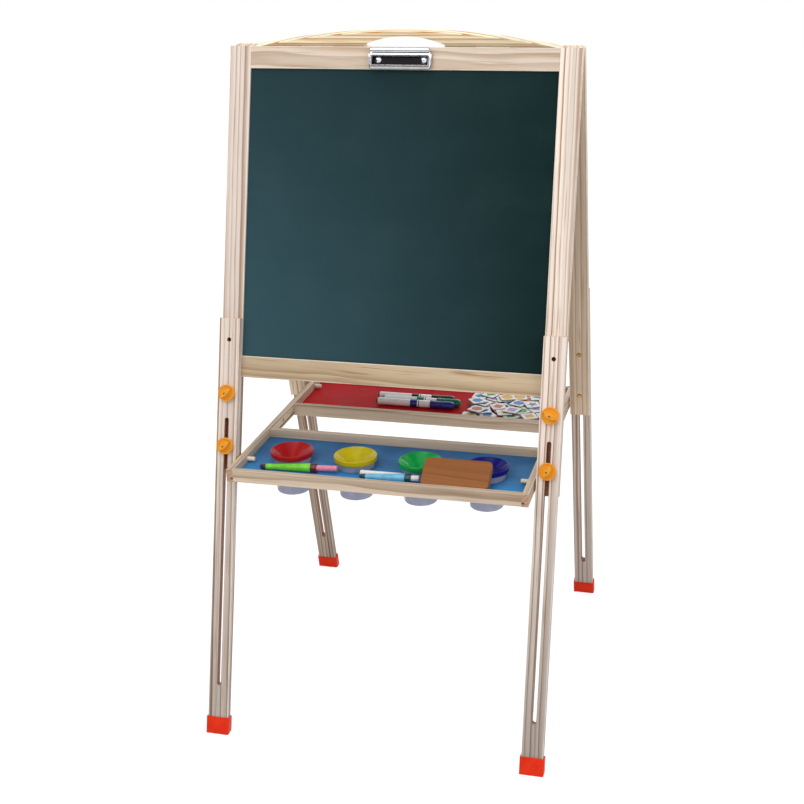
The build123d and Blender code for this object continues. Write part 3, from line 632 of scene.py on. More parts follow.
@dataclass(frozen=True)
class Plastic(Finish):
    """Moulded plastic with flow marks, fine skin and handling scratches."""

    colour: Colour = (0.5, 0.5, 0.5, 1.0)
    shade: Colour = (0.4, 0.4, 0.4, 1.0)
    rough: float = 0.35
    coat: float = 0.0
    scale: float = 120.0
    rubbed: float = 0.3
    clear: float = 0.0
    specular: float = 0.5

    def paint(self, sheet: NodeSheet, shader: bpy.types.Node) -> None:
        """Join flow marks, scratches and skin to the shader.

        Args:
            sheet: The material's tree.
            shader: Its shader.
        """
        place = sheet.place()
        skin = MouldedSkin().use(sheet, {"Vector": place, "Scale": self.scale})
        marks = RubMarks().use(sheet, {"Vector": place, "Amount": self.rubbed})["Mask"]
        colour = sheet.mix(skin["Mottle"], self.shade, self.colour)
        rough = sheet.spread(skin["Mottle"], (0.0, 1.0), (self.rough + 0.05, self.rough - 0.03))
        sheet.fill(shader, {
            "Base Color": colour, "Roughness": sheet.math("ADD", rough, sheet.math("MULTIPLY", marks, 0.25)),
            "Normal": sheet.bump(skin["Height"], 0.06, 0.0002), "Coat Weight": self.coat,
            "Transmission Weight": self.clear, "Specular IOR Level": self.specular,
        })


@dataclass(frozen=True)
class Metal(Finish):
    """Plated or plain metal with hairlines."""

    colour: Colour = (0.8, 0.8, 0.8, 1.0)
    dull: Colour = (0.5, 0.5, 0.5, 1.0)
    rough: float = 0.12
    rubbed: float = 0.6

    def paint(self, sheet: NodeSheet, shader: bpy.types.Node) -> None:
        """Join hairlines and tarnish to the shader.

        Args:
            sheet: The material's tree.
            shader: Its shader.
        """
        place = sheet.place()
        marks = RubMarks().use(sheet, {"Vector": place, "Amount": self.rubbed})["Mask"]
        skin = MouldedSkin().use(sheet, {"Vector": place, "Scale": 90.0})
        tarnish = sheet.math("MULTIPLY", skin["Mottle"], 0.3)
        colour = sheet.mix(sheet.math("MAXIMUM", marks, tarnish), self.colour, self.dull)
        rough = sheet.math("ADD", sheet.weighted(marks, 0.2, skin["Mottle"], 0.06), self.rough)
        sheet.fill(shader, {"Base Color": colour, "Roughness": rough, "Metallic": 1.0})


@dataclass(frozen=True)
class PaintedPanel(Finish):
    """Lacquered hardboard: faint fibre clumps, scratches and chalk dust."""

    colour: Colour = (0.1, 0.2, 0.5, 1.0)
    shade: Colour = (0.05, 0.1, 0.3, 1.0)
    rough: float = 0.38
    dusty: float = 0.25
    # The next two give the painted light along one edge: its colour, and the band along Y over which it comes
    # in.
    front: Colour = (0.1, 0.3, 0.7, 1.0)
    fade: tuple[float, float] = (-140.0, -225.0)
    powder: Colour = srgb(214, 214, 216)

    def paint(self, sheet: NodeSheet, shader: bpy.types.Node) -> None:
        """Join paint, which turns to a painted pool of light along one edge, scratches and dust to the
        shader.

        Args:
            sheet: The material's tree.
            shader: Its shader.
        """
        place = sheet.place()
        skin = MouldedSkin().use(sheet, {"Vector": place, "Scale": 26.0})
        marks = RubMarks().use(sheet, {"Vector": place, "Amount": 0.16})["Mask"]
        dust = KitDust().use(sheet, {"Vector": place, "Amount": self.dusty})["Mask"]
        # Painted light: the colour turns to the front tone across the band along Y.
        painted_light_mix = sheet.spread(sheet.axes(place)["Y"], (self.fade[1] * MM, self.fade[0] * MM), (1.0, 0.0))
        colour = sheet.mix(painted_light_mix, sheet.mix(skin["Mottle"], self.shade, self.colour), self.front)
        colour = sheet.mix(sheet.math("MAXIMUM", marks, dust), colour, self.powder)
        rough = sheet.math("ADD", sheet.weighted(dust, 0.5, skin["Mottle"], 0.08), self.rough)
        sheet.fill(shader, {
            "Base Color": colour, "Roughness": rough, "Normal": sheet.bump(skin["Height"], 0.1, 0.0003),
            "Specular IOR Level": 0.03,
        })


@dataclass(frozen=True)
class Slate(Finish):
    """Chalkboard paint with the haze of wiped chalk, and a painted sheen that lightens it towards the lower
    left.
    """

    home: Matrix = field(default_factory=Matrix.Identity)
    middle: tuple[float, float, float] = (0.0, 0.0, 0.0)
    half_size: tuple[float, float] = (228.0, 212.0)
    dark: Colour = srgb(16, 37, 36)
    hazy: Colour = srgb(58, 86, 95)
    powder: Colour = srgb(190, 200, 200)

    def paint(self, sheet: NodeSheet, shader: bpy.types.Node) -> None:
        """Join chalk haze, painted sheen, wipe strokes and tooth to the shader.

        Args:
            sheet: The material's tree.
            shader: Its shader.
        """
        board = sheet.board_place(Matrix.Translation(-Vector(self.middle)) @ self.home.inverted())
        axes = sheet.axes(board)
        # Painted sheen: a gradient that lightens the board towards the lower left.
        left, down = (
            sheet.add("MapRange", {"Value": axes[axis], "From Min": half * MM, "From Max": -half * MM})
            for axis, half in zip(("X", "Z"), self.half_size))
        painted_sheen = sheet.math("MULTIPLY_ADD", down.outputs[0], 0.62, 0.3)
        painted_sheen = sheet.math("MULTIPLY", left.outputs[0], painted_sheen)
        stroke = sheet.strokes(board, (0.0, 0.35, 0.0), (5.0, 5.0, 26.0), 4.0)
        haze = sheet.weighted(stroke, 0.1, sheet.noise(board, 6.0, 3.0), 0.12)
        # The haze level holds both the chalk haze and the painted sheen.
        haze = sheet.math("SUBTRACT", sheet.math("ADD", painted_sheen, haze), 0.06)
        dust = KitDust().use(sheet, {"Vector": board, "Amount": 0.05})["Mask"]
        colour = sheet.mix(haze, self.dark, self.hazy)
        sheet.fill(shader, {
            "Base Color": sheet.mix(dust, colour, self.powder),
            "Roughness": sheet.spread(haze, (0.0, 1.0), (0.5, 0.66)),
            "Normal": sheet.bump(sheet.noise(board, 1500.0), 0.12, 0.0002), "Specular IOR Level": 0.03,
        })


@dataclass(frozen=True)
class DryWipe(Finish):
    """White writing board with faint smears of wiped ink."""

    home: Matrix = field(default_factory=Matrix.Identity)
    white: Colour = srgb(243, 244, 245)
    smeared: Colour = srgb(230, 233, 239)

    def paint(self, sheet: NodeSheet, shader: bpy.types.Node) -> None:
        """Join smears and gloss to the shader.

        Args:
            sheet: The material's tree.
            shader: Its shader.
        """
        board = sheet.board_place(self.home.inverted())
        smear = sheet.strokes(board, (0.0, -0.3, 0.0), (4.0, 4.0, 19.0), 5.0)
        marks = RubMarks().use(sheet, {"Vector": board, "Amount": 0.3})["Mask"]
        ghost = sheet.spread(smear, (0.45, 0.8), (0.0, 0.7))
        sheet.fill(shader, {
            "Base Color": sheet.mix(ghost, self.white, self.smeared),
            "Roughness": sheet.math("ADD", sheet.math("MULTIPLY", ghost, 0.2), 0.12),
            "Normal": sheet.bump(marks, 0.05, 0.0001),
        })


@dataclass(frozen=True)
class Felt(Finish):
    """Pressed wool: matted fibres with chalk dust."""

    colour: Colour = srgb(62, 58, 138)
    shade: Colour = srgb(40, 38, 104)
    powder: Colour = srgb(205, 208, 214)

    def paint(self, sheet: NodeSheet, shader: bpy.types.Node) -> None:
        """Join fibres and dust to the shader.

        Args:
            sheet: The material's tree.
            shader: Its shader.
        """
        place = sheet.place()
        dust = KitDust().use(sheet, {"Vector": place, "Amount": 0.7})["Mask"]
        fibre = sheet.weighted(sheet.noise(place, 900.0, 5.0), 0.6, sheet.noise(place, 160.0, 3.0), 0.4)
        colour = sheet.mix(sheet.spread(fibre, (0.35, 0.65), (0.0, 1.0)), self.shade, self.colour)
        sheet.fill(shader, {
            "Base Color": sheet.mix(dust, colour, self.powder), "Normal": sheet.bump(fibre, 0.6, 0.0008),
            "Roughness": 0.95, "Sheen Weight": 0.4,
        })


@dataclass(frozen=True)
class Chalk(Finish):
    """Pressed chalk: a soft powdery surface with pits and rubbed streaks."""

    colour: Colour = (0.9, 0.9, 0.9, 1.0)
    shade: Colour = (0.8, 0.8, 0.8, 1.0)

    def paint(self, sheet: NodeSheet, shader: bpy.types.Node) -> None:
        """Join powder and pits to the shader.

        Args:
            sheet: The material's tree.
            shader: Its shader.
        """
        place = sheet.place()
        powder = sheet.noise(place, 260.0, 5.0)
        pits = sheet.spread(sheet.noise(place, 1300.0), (0.58, 0.72), (0.0, 1.0))
        colour = sheet.mix(sheet.spread(powder, (0.3, 0.7), (0.0, 1.0)), self.shade, self.colour)
        sheet.fill(shader, {
            "Base Color": sheet.mix(sheet.math("MULTIPLY", pits, 0.3), colour, self.shade), "Roughness": 0.92,
            "Normal": sheet.bump(sheet.math("SUBTRACT", powder, pits), 0.3, 0.0004),
        })


class Moulded(Enum):
    """The plastics of the knobs, caps, cups and kit."""

    ORANGE = Plastic(
        "orange_knob", srgb(248, 176, 58), srgb(240, 164, 46),
        rough=0.36, scale=90.0, rubbed=0.35, specular=0.3)
    CAP_RED = Plastic(
        "red_foot_cap", srgb(240, 54, 18), srgb(230, 46, 14),
        rough=0.42, scale=55.0, rubbed=0.4, specular=0.15)
    FROSTED = Plastic(
        "frosted_cup", srgb(206, 206, 226), srgb(192, 192, 216),
        rough=0.42, scale=40.0, rubbed=0.2, clear=0.35)
    RED_LID = Plastic(
        "red_lid", srgb(172, 24, 26), srgb(160, 18, 22),
        rough=0.3, coat=0.05, scale=50.0, rubbed=0.25, specular=0.2)
    YELLOW_LID = Plastic(
        "yellow_lid", srgb(198, 181, 14), srgb(186, 166, 8),
        rough=0.24, coat=0.05, scale=50.0, rubbed=0.25, specular=0.25)
    GREEN_LID = Plastic(
        "green_lid", srgb(2, 162, 72), srgb(2, 142, 60),
        rough=0.22, coat=0.1, scale=50.0, rubbed=0.25, specular=0.25)
    BLUE_LID = Plastic(
        "blue_lid", srgb(28, 24, 122), srgb(20, 18, 102),
        rough=0.24, coat=0.05, scale=50.0, rubbed=0.25, specular=0.18)
    HOLDER_GREEN = Plastic(
        "green_holder", srgb(128, 220, 58), srgb(106, 200, 48),
        rough=0.3, coat=0.1, specular=0.35)
    HOLDER_BLUE = Plastic("blue_holder", srgb(122, 196, 226), srgb(100, 176, 212), rough=0.3, coat=0.2)
    PURPLE = Plastic("purple_tip", srgb(74, 30, 92), srgb(58, 20, 74), rough=0.32, coat=0.2)
    MAROON = Plastic("maroon_band", srgb(104, 22, 44), srgb(84, 14, 34), rough=0.32, coat=0.2)
    TEAL = Plastic("teal_tip", srgb(16, 74, 88), srgb(10, 58, 70), rough=0.32, coat=0.2)
    BARREL = Plastic("marker_barrel", srgb(252, 252, 251), srgb(246, 246, 246), rough=0.3, coat=0.2)
    PLUG = Plastic("marker_plug", srgb(40, 40, 44), srgb(28, 28, 32), rough=0.4)
    INK_BLACK = Plastic("black_cap", srgb(30, 30, 33), srgb(20, 20, 23), rough=0.3, coat=0.3, rubbed=0.4)
    INK_GREEN = Plastic("green_cap", srgb(10, 128, 92), srgb(6, 108, 76), rough=0.3, coat=0.3, rubbed=0.4)
    INK_BLUE = Plastic("blue_cap", srgb(46, 52, 150), srgb(34, 40, 128), rough=0.3, coat=0.3, rubbed=0.4)
    TILE = Plastic(
        "tile_face", srgb(246, 246, 244), srgb(236, 237, 238),
        rough=0.3, coat=0.2, scale=80.0, rubbed=0.4)
    MAGNET = Plastic("tile_magnet", srgb(38, 38, 42), srgb(26, 26, 30), rough=0.7, scale=80.0, rubbed=0.2)
    MARK_YELLOW = Plastic("mark_yellow", srgb(232, 178, 20), srgb(214, 158, 12))
    MARK_GREEN = Plastic("mark_green", srgb(58, 150, 60), srgb(44, 130, 48))
    MARK_RED = Plastic("mark_red", srgb(190, 30, 46), srgb(168, 22, 38))
    MARK_BLUE = Plastic("mark_blue", srgb(34, 122, 190), srgb(24, 104, 172))
    MARK_LILAC = Plastic("mark_lilac", srgb(186, 140, 206), srgb(170, 122, 192))
    MARK_ORANGE = Plastic("mark_orange", srgb(206, 96, 34), srgb(188, 80, 24))
    MARK_TEAL = Plastic("mark_teal", srgb(70, 130, 150), srgb(56, 114, 134))


class Plated(Enum):
    """The metals."""

    CHROME = Metal("clip_chrome", srgb(226, 228, 232), srgb(150, 154, 160), rough=0.07, rubbed=0.4)
    BURNISHED = Metal("clip_plate", srgb(38, 35, 36), srgb(22, 20, 21), rough=0.3, rubbed=0.6)
    ZINC = Metal("zinc_steel", srgb(196, 198, 202), srgb(140, 142, 146), rough=0.26, rubbed=0.7)
    STUD = Metal("stud_end", srgb(92, 58, 40), srgb(58, 34, 24), rough=0.4, rubbed=0.5)
    BRASS = Metal("brass_insert", srgb(188, 150, 98), srgb(142, 108, 64), rough=0.34, rubbed=0.5)


# Shapes in millimetres, each made in its own bmesh.


def turn_about(axis: str, degrees: float) -> Matrix:
    """Turn about X, Y or Z."""
    return Matrix.Rotation(math.radians(degrees), 4, axis)


def verts_of(geom: Iterable[Any]) -> list[bmesh.types.BMVert]:
    """Vertices among what an operator returned."""
    return [part for part in geom if isinstance(part, bmesh.types.BMVert)]


def open_edges(bm: Shape) -> list[bmesh.types.BMEdge]:
    """Edges that only one face has."""
    return [edge for edge in bm.edges if edge.is_boundary]


def faced_out(bm: Shape) -> Shape:
    """The same shape with its faces turned outwards."""
    bmesh.ops.recalc_face_normals(bm, faces=bm.faces[:])
    return bm


def swept(
    bm: Shape, geom: Sequence[Any], centre: Point, axis: Point, angle: float, steps: int,
    slide: Point = (0.0, 0.0, 0.0), merge: bool = False,
) -> list[bmesh.types.BMVert]:
    """Sweep geometry round an axis.

    Args:
        bm: The shape it belongs to.
        geom: Vertices and edges to sweep.
        centre: A point on the axis.
        axis: The axis' direction.
        angle: How far, in radians.
        steps: Divisions of the sweep.
        slide: Shift along with each step.
        merge: Whether the end joins the start.

    Returns:
        The vertices at the end of the sweep.
    """
    made = bmesh.ops.spin(
        bm, geom=geom, cent=centre, axis=axis, dvec=slide, angle=angle, steps=steps, use_merge=merge,
        use_normal_flip=False, use_duplicate=False)
    return verts_of(made["geom_last"])


def turned(profile: Outline, steps: int = 48, closed: bool = False) -> Shape:
    """Spin an outline of radius and height round Z.

    Args:
        profile: Points of the outline.
        steps: Divisions of the full turn.
        closed: Whether the last point joins the first, as for a hollow ring.

    Returns:
        The closed shell.
    """
    bm = bmesh.new()
    verts = [bm.verts.new((radius, 0.0, height)) for radius, height in profile]
    pairs = list(zip(verts, verts[1:] + verts[:1] if closed else verts[1:]))
    edges = [bm.edges.new(pair) for pair in pairs]
    swept(bm, verts + edges, (0, 0, 0), (0, 0, 1), math.tau, steps, merge=True)
    bmesh.ops.remove_doubles(bm, verts=bm.verts[:], dist=1e-4)
    return faced_out(bm)


def slab(size: Point, middle: Point = (0.0, 0.0, 0.0)) -> Shape:
    """Start a block of the given size round its middle.

    Args:
        size: Lengths along X, Y and Z.
        middle: The block's middle.

    Returns:
        The block, ready to be cut and softened.
    """
    bm = bmesh.new()
    bmesh.ops.create_cube(bm, size=1.0)
    bmesh.ops.scale(bm, vec=Vector(size), verts=bm.verts[:])
    bmesh.ops.translate(bm, vec=Vector(middle), verts=bm.verts[:])
    return bm


def soften(
    bm: Shape, width: float, segments: int = 2, angle: float = 30.0,
    wanted: Callable[[bmesh.types.BMEdge], bool] | None = None,
) -> Shape:
    """Round the sharp edges of a shape.

    Args:
        bm: The shape.
        width: Width of the rounding.
        segments: Facets across it.
        angle: Edges whose faces turn by more than this, in degrees, are rounded.
        wanted: A test that picks edges out of those.

    Returns:
        The same shape.
    """
    limit = math.radians(angle)
    edges = [e for e in bm.edges if len(e.link_faces) == 2 and e.calc_face_angle(0.0) > limit]
    if wanted is not None:
        edges = [e for e in edges if wanted(e)]
    bmesh.ops.bevel(
        bm, geom=edges, offset=width, offset_type="OFFSET", segments=segments, profile=0.5, affect="EDGES",
        clamp_overlap=True, material=-1)
    return bm


def upright(edge: bmesh.types.BMEdge) -> bool:
    """Whether an edge runs along Z."""
    return abs((edge.verts[0].co - edge.verts[1].co).normalized().z) > 0.99


def cross_head(radius: float, height: float, cells: int = 9) -> Shape:
    """A domed screw head with a cross recess, its seat on Z = 0.

    Args:
        radius: Radius of the head.
        height: Height of its crown.
        cells: Cells of the grid that becomes the dome.

    Returns:
        The head.
    """
    bm = bmesh.new()
    bmesh.ops.create_grid(bm, x_segments=cells, y_segments=cells, size=1.0)
    for vert in bm.verts:
        x, y = vert.co.x, vert.co.y
        u, v = x * math.sqrt(1 - y * y / 2), y * math.sqrt(1 - x * x / 2)
        vert.co = (u * radius, v * radius, height * (1.0 - 0.7 * (u * u + v * v)))
    arm, reach = radius * 0.14, radius * 0.62
    centres = {f: f.calc_center_median() for f in bm.faces}
    recess = [
        f for f, c in centres.items()
        if min(abs(c.x), abs(c.y)) < arm and max(abs(c.x), abs(c.y)) < reach
    ]
    sunk = bmesh.ops.extrude_face_region(bm, geom=recess)["geom"]
    bmesh.ops.delete(bm, geom=recess, context="FACES")
    bmesh.ops.translate(bm, vec=(0.0, 0.0, -0.55 * height), verts=verts_of(sunk))
    skirt = bmesh.ops.extrude_edge_only(bm, edges=open_edges(bm))["geom"]
    for vert in verts_of(skirt):
        vert.co.z = 0.0
    bmesh.ops.holes_fill(bm, edges=open_edges(bm), sides=0)
    return faced_out(bm)


def screw_shank(radius: float, tip: float, length: float, straight: float = 7.6) -> Shape:
    """A pointed screw shank below Z = 0.

    Args:
        radius: Radius of the shank.
        tip: Radius of its blunt tip.
        length: From the head's seat to the tip.
        straight: How far down it keeps its full radius.

    Returns:
        The shank.
    """
    return turned([(0.0, -length), (tip, -length), (radius, -straight), (radius, 0.0), (0.0, 0.0)], 12)


class Workpiece:
    """One visual piece: a growing mesh in millimetres and the finishes on it."""

    def __init__(self, name: str) -> None:
        """Start an empty piece.

        Args:
            name: Name of the finished object.
        """
        self.name = name
        self.mesh = bmesh.new()
        self.finishes: list[Finish] = []

    @classmethod
    def single(cls, name: str, shape: Shape, finish: Finish, place: Matrix | None = None) -> "Workpiece":
        """Start a piece of one shape.

        Args:
            name: Name of the finished object.
            shape: The shape, which is used up.
            finish: Its finish.
            place: Where it goes.

        Returns:
            The piece.
        """
        piece = cls(name)
        piece.take(shape, finish, place)
        return piece

    def take(self, shape: Shape, finish: Finish, place: Matrix | None = None) -> None:
        """Move a shape into the piece.

        Args:
            shape: The shape, which is used up.
            finish: Its finish.
            place: Where it goes.
        """
        if finish not in self.finishes:
            self.finishes.append(finish)
        for face in shape.faces:
            face.material_index = self.finishes.index(finish)
        if place is not None:
            shape.transform(place)
        scratch = bpy.data.meshes.new("scratch")
        shape.to_mesh(scratch)
        shape.free()
        self.mesh.from_mesh(scratch)
        bpy.data.meshes.remove(scratch)

    def deliver(self, body: str, nodes: Iterable[str], slot: str) -> None:
        """Write the piece as an object that rides on a body and stands for CAD nodes.

        Args:
            body: The CAD body that carries it.
            nodes: The CAD nodes it stands for.
            slot: The record's material slot; not used.
        """
        bmesh.ops.scale(self.mesh, vec=(MM, MM, MM), verts=self.mesh.verts[:])
        for face in self.mesh.faces:
            face.smooth = True
        limit = math.radians(CRISP_ANGLE)
        for edge in self.mesh.edges:
            edge.smooth = len(edge.link_faces) != 2 or edge.calc_face_angle(0.0) < limit
        mesh = bpy.data.meshes.new(self.name)
        self.mesh.to_mesh(mesh)
        self.mesh.free()
        for finish in self.finishes:
            mesh.materials.append(finish.material())
        piece = bpy.data.objects.new(self.name, mesh)
        bpy.context.scene.collection.objects.link(piece)
        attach(piece, body)
        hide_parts(*nodes)
        log.info("%s: %d faces on %s", self.name, len(mesh.polygons), body)


class Labelled(Enum):
    """Options whose names are part of the CAD nodes' names."""

    @property
    def label(self) -> str:
        """The option's name in the CAD."""
        return self.name.lower()


class Side(Labelled):
    """The two panel frames; the value is the turn about Z of each frame's own space, in degrees."""

    FRONT = 0.0
    REAR = 180.0


class Hand(Labelled):
    """Left and right as seen from the front; the value is the side of X."""

    LEFT = -1
    RIGHT = 1


@dataclass(frozen=True)
class FrameSpace:
    """Space of a panel frame: X along the hinge axis, outer face towards -Y, Z up the slope."""

    side: Side
    lean: float = 14.8
    hinge_height: float = 997.8837

    def matrix(self) -> Matrix:
        """Carry the frame's space into the CAD frame, in millimetres."""
        tilt = turn_about("X", self.lean if self.side is Side.REAR else -self.lean)
        return Matrix.Translation((0.0, 0.0, self.hinge_height)) @ tilt @ turn_about("Z", self.side.value)

    def sign(self, hand: Hand) -> int:
        """Side of the frame's own X on which its left or right board lies."""
        return hand.value * (1 if self.side is Side.FRONT else -1)


@dataclass
class PanelFrame:
    """A frame with its writing board, hinge and inserts."""

    space: FrameSpace
    half_width: float = 260.0
    board: float = 32.0
    face: float = 15.4
    hinge_offset: float = 3.4
    stile_length: float = 630.0
    slot_top: float = 552.75
    leg_bore: float = 432.0
    opening: float = 424.0
    hinge_spacing: float = 260.0
    screw_spacing: float = 30.0
    screw_drop: float = 16.0
    screw_head: tuple[float, float] = (2.8, 0.8)
    shank: tuple[float, float, float] = (1.35, 0.5, 9.0)
    leaf: float = 1.2

    def stile(self, hand: Hand, seed: float) -> Timber:
        """Finish of one upright.

        Args:
            hand: Which upright.
            seed: Which piece of timber it is.

        Returns:
            The finish.
        """
        x = self.space.sign(hand) * (self.half_width - self.board / 2)
        half = self.stile_length / 2
        wood = Wood.LEFT_STILE if hand is Hand.LEFT else Wood.RIGHT_STILE
        if self.space.side is Side.REAR:
            wood = Wood.REAR
        return Timber(
            f"pine_{self.space.side.label}_{hand.label}_stile", wood, Grain.UPRIGHT, self.space.matrix(),
            (x, -self.middle_depth(), -half), pith=(58.0 if hand is Hand.LEFT else -64.0, -30.0), ring=7.6,
            waviness=2.2, contrast=1.5, drift=0.3, seed=seed, slot=(-half, half - self.slot_top),
            bore=half - self.leg_bore, outer_only=True, section=self.section())

    def section(self) -> tuple[float, float]:
        """Half the width and half the thickness of a board."""
        return (self.board / 2, (self.face - self.hinge_offset) / 2)

    def middle_depth(self) -> float:
        """Distance from the hinge axis to the middle of the boards."""
        return (self.face + self.hinge_offset) / 2

    def dress_rail(
        self, node: str, wood: Wood, drop: float, pith: tuple[float, float], contrast: float, seed: float,
    ) -> None:
        """Give a rail its finish.

        Args:
            node: The rail's node.
            wood: Its tone.
            drop: Its middle below the hinge axis.
            pith: Where the heart of the log lay, along the width and the thickness.
            contrast: Strength of the rings.
            seed: Which piece of timber it is.
        """
        Timber(
            f"pine_{node}", wood, Grain.ACROSS, self.space.matrix(), (0.0, -self.middle_depth(), -drop), pith,
            ring=6.0, waviness=5.0, contrast=contrast, drift=1.6, seed=seed, section=self.section(),
        ).dress(node)

    def dress(self) -> None:
        """Give boards, hinge leaves and inserts their finishes."""
        label = self.space.side.label
        rear = self.space.side is Side.REAR
        for hand, seed in ((Hand.LEFT, 3.0), (Hand.RIGHT, 11.0)):
            self.stile(hand, seed + rear).dress(f"{label}_{hand.label}_stile")
        low = self.board * 1.5 + self.opening
        wood = Wood.REAR if rear else Wood.LOW_RAIL
        self.dress_rail(f"{label}_bottom_rail", wood, low, (12.0, -26.0), 1.3, 21.0 + rear)
        if rear:
            Timber(
                "pine_rear_arch_rail", Wood.ARCH, Grain.ACROSS, self.space.matrix(),
                (0.0, -self.middle_depth(), 0.0), pith=(-120.0, 105.0), ring=4.3, waviness=0.8, contrast=1.15,
                drift=0.15, seed=33.0, seam=(1.0, 6.0),
            ).dress("rear_arch_rail")
            DryWipe("dry_wipe", self.space.matrix()).dress("whiteboard")
        else:
            self.dress_rail("front_top_rail", Wood.TOP_RAIL, self.board / 2, (-9.0, -30.0), 1.1, 41.0)
            middle = (0.0, -self.face + 4.0, -self.board - self.opening / 2)
            Slate("slate", self.space.matrix(), middle).dress("chalkboard")
        Plated.ZINC.value.dress(f"{label}_hinge_leaves")
        Plated.BRASS.value.dress(f"{label}_insert_nuts")
        peg = Timber("pine_dowel", Wood.PEG, Grain.ACROSS, self.space.matrix(), contrast=0.4, seed=51.0)
        peg.dress(f"{label}_frame_dowels")

    def build_hinge_screws(self) -> None:
        """Build the cross-headed screws of both hinges."""
        radius, height = self.screw_head
        label = self.space.side.label
        piece = Workpiece(f"{label}_hinge_screw_heads")
        for hinge in (-0.5, 0.5):
            for end in (-0.5, 0.5):
                x = hinge * self.hinge_spacing + end * self.screw_spacing
                turn = Matrix.Rotation(x * 0.37, 4, "Z")
                spot = Matrix.Translation((x, self.leaf - self.hinge_offset, -self.screw_drop))
                place = self.space.matrix() @ spot @ turn_about("X", -90.0) @ turn
                piece.take(cross_head(radius, height), Plated.ZINC.value, place)
                piece.take(screw_shank(*self.shank), Plated.ZINC.value, place)
        piece.deliver(f"{label}_frame", [f"{label}_hinge_screws"], "zinc_steel")


@dataclass
class ThumbKnob:
    """A dished thumb knob with a lens-shaped bar, on a threaded stud."""

    radius: float = 12.5
    disc: float = 7.0
    height: float = 15.0
    bar_length: float = 23.0
    bar_width: float = 8.8
    stud_radius: float = 3.0
    pitch: float = 1.0

    def dish(self) -> Shape:
        """The round head, hollowed on both sides of its bar.

        Returns:
            The head's shell.
        """
        r, h = self.radius, self.disc
        profile = [
            (0.0, 3.6), (r * 0.5, 3.8), (r * 0.74, 4.5), (r * 0.87, 5.9), (r * 0.92, h - 0.25),
            (r * 0.955, h), (r * 0.985, h - 0.35), (r, h - 1.2), (r, 1.2), (r * 0.985, 0.4), (r * 0.95, 0.0),
            (0.0, 0.0),
        ]
        return turned(profile, 56)

    def bar(self) -> Shape:
        """The lens-shaped bar, crowned towards its middle.

        Returns:
            The bar's shell.
        """
        bm = bmesh.new()
        half, rise, foot = self.bar_length / 2, self.bar_width / 2, 2.0
        arc = (half * half + rise * rise) / (2 * rise)
        sweep = 2 * math.asin(half / arc)
        last = [bm.verts.new((-half, 0.0, foot))]
        for bend in (-1, 1):
            last = swept(bm, last, (0.0, bend * (arc - rise), foot), (0, 0, 1), -sweep, 14)
        bmesh.ops.remove_doubles(bm, verts=bm.verts[:], dist=1e-3)
        base = bmesh.ops.contextual_create(bm, geom=bm.edges[:])["faces"]
        top = bmesh.ops.extrude_face_region(bm, geom=base)["geom"]
        for vert in verts_of(top):
            along = abs(vert.co.x) / half
            vert.co.x *= 0.9
            vert.co.y *= 0.78
            vert.co.z = self.height - 0.15 - 5.2 * along ** 2.6
        return soften(
            faced_out(bm), 0.7, 3, 40.0,
            lambda e: min(v.co.z for v in e.verts) > foot + 0.1 and not upright(e))

    def eyelet(self) -> Shape:
        """A small rim on the bar round the stud's end.

        Returns:
            The rim's shell.
        """
        h = self.height
        profile = [(1.25, h - 0.7), (1.9, h - 0.7), (1.9, h - 0.1), (1.7, h), (1.35, h), (1.25, h - 0.1)]
        return turned(profile, 20, True)

    def stud_end(self) -> Shape:
        """The stud's end inside the eyelet."""
        h = self.height
        return turned([(0.0, h - 0.8), (1.3, h - 0.8), (1.3, h - 0.12), (0.0, h - 0.1)], 16)

    def stud(self, length: float) -> Shape:
        """A threaded stud below the head.

        Args:
            length: From the head's underside to the tip.

        Returns:
            The stud's shell.
        """
        r = self.stud_radius
        profile = [(0.0, 0.5), (r, 0.5)]
        crest = 0.0
        while crest > -length + 1.6:
            profile += [(r, crest - 0.2), (r * 0.86, crest - self.pitch * 0.6)]
            crest -= self.pitch
        profile += [(r * 0.8, -length + 0.5), (r * 0.6, -length), (0.0, -length)]
        return turned(profile, 20)

    def build(self, node: str, place: Matrix, turn: float, reach: float) -> None:
        """Build one knob on its own body.

        Args:
            node: Name of its CAD node, which is its body's name too.
            place: Carries the knob's space, with its axis along Z, into the CAD frame.
            turn: Angle of the bar, in degrees.
            reach: Length of the stud.
        """
        piece = Workpiece(f"{node}_head")
        bar_place = place @ turn_about("Z", turn)
        orange = Moulded.ORANGE.value
        piece.take(self.dish(), orange, place)
        piece.take(self.bar(), orange, bar_place)
        piece.take(self.eyelet(), orange, bar_place)
        piece.take(self.stud_end(), Plated.STUD.value, bar_place)
        piece.take(self.stud(reach), Plated.ZINC.value, place)
        piece.deliver(node, [node], "orange_plastic")


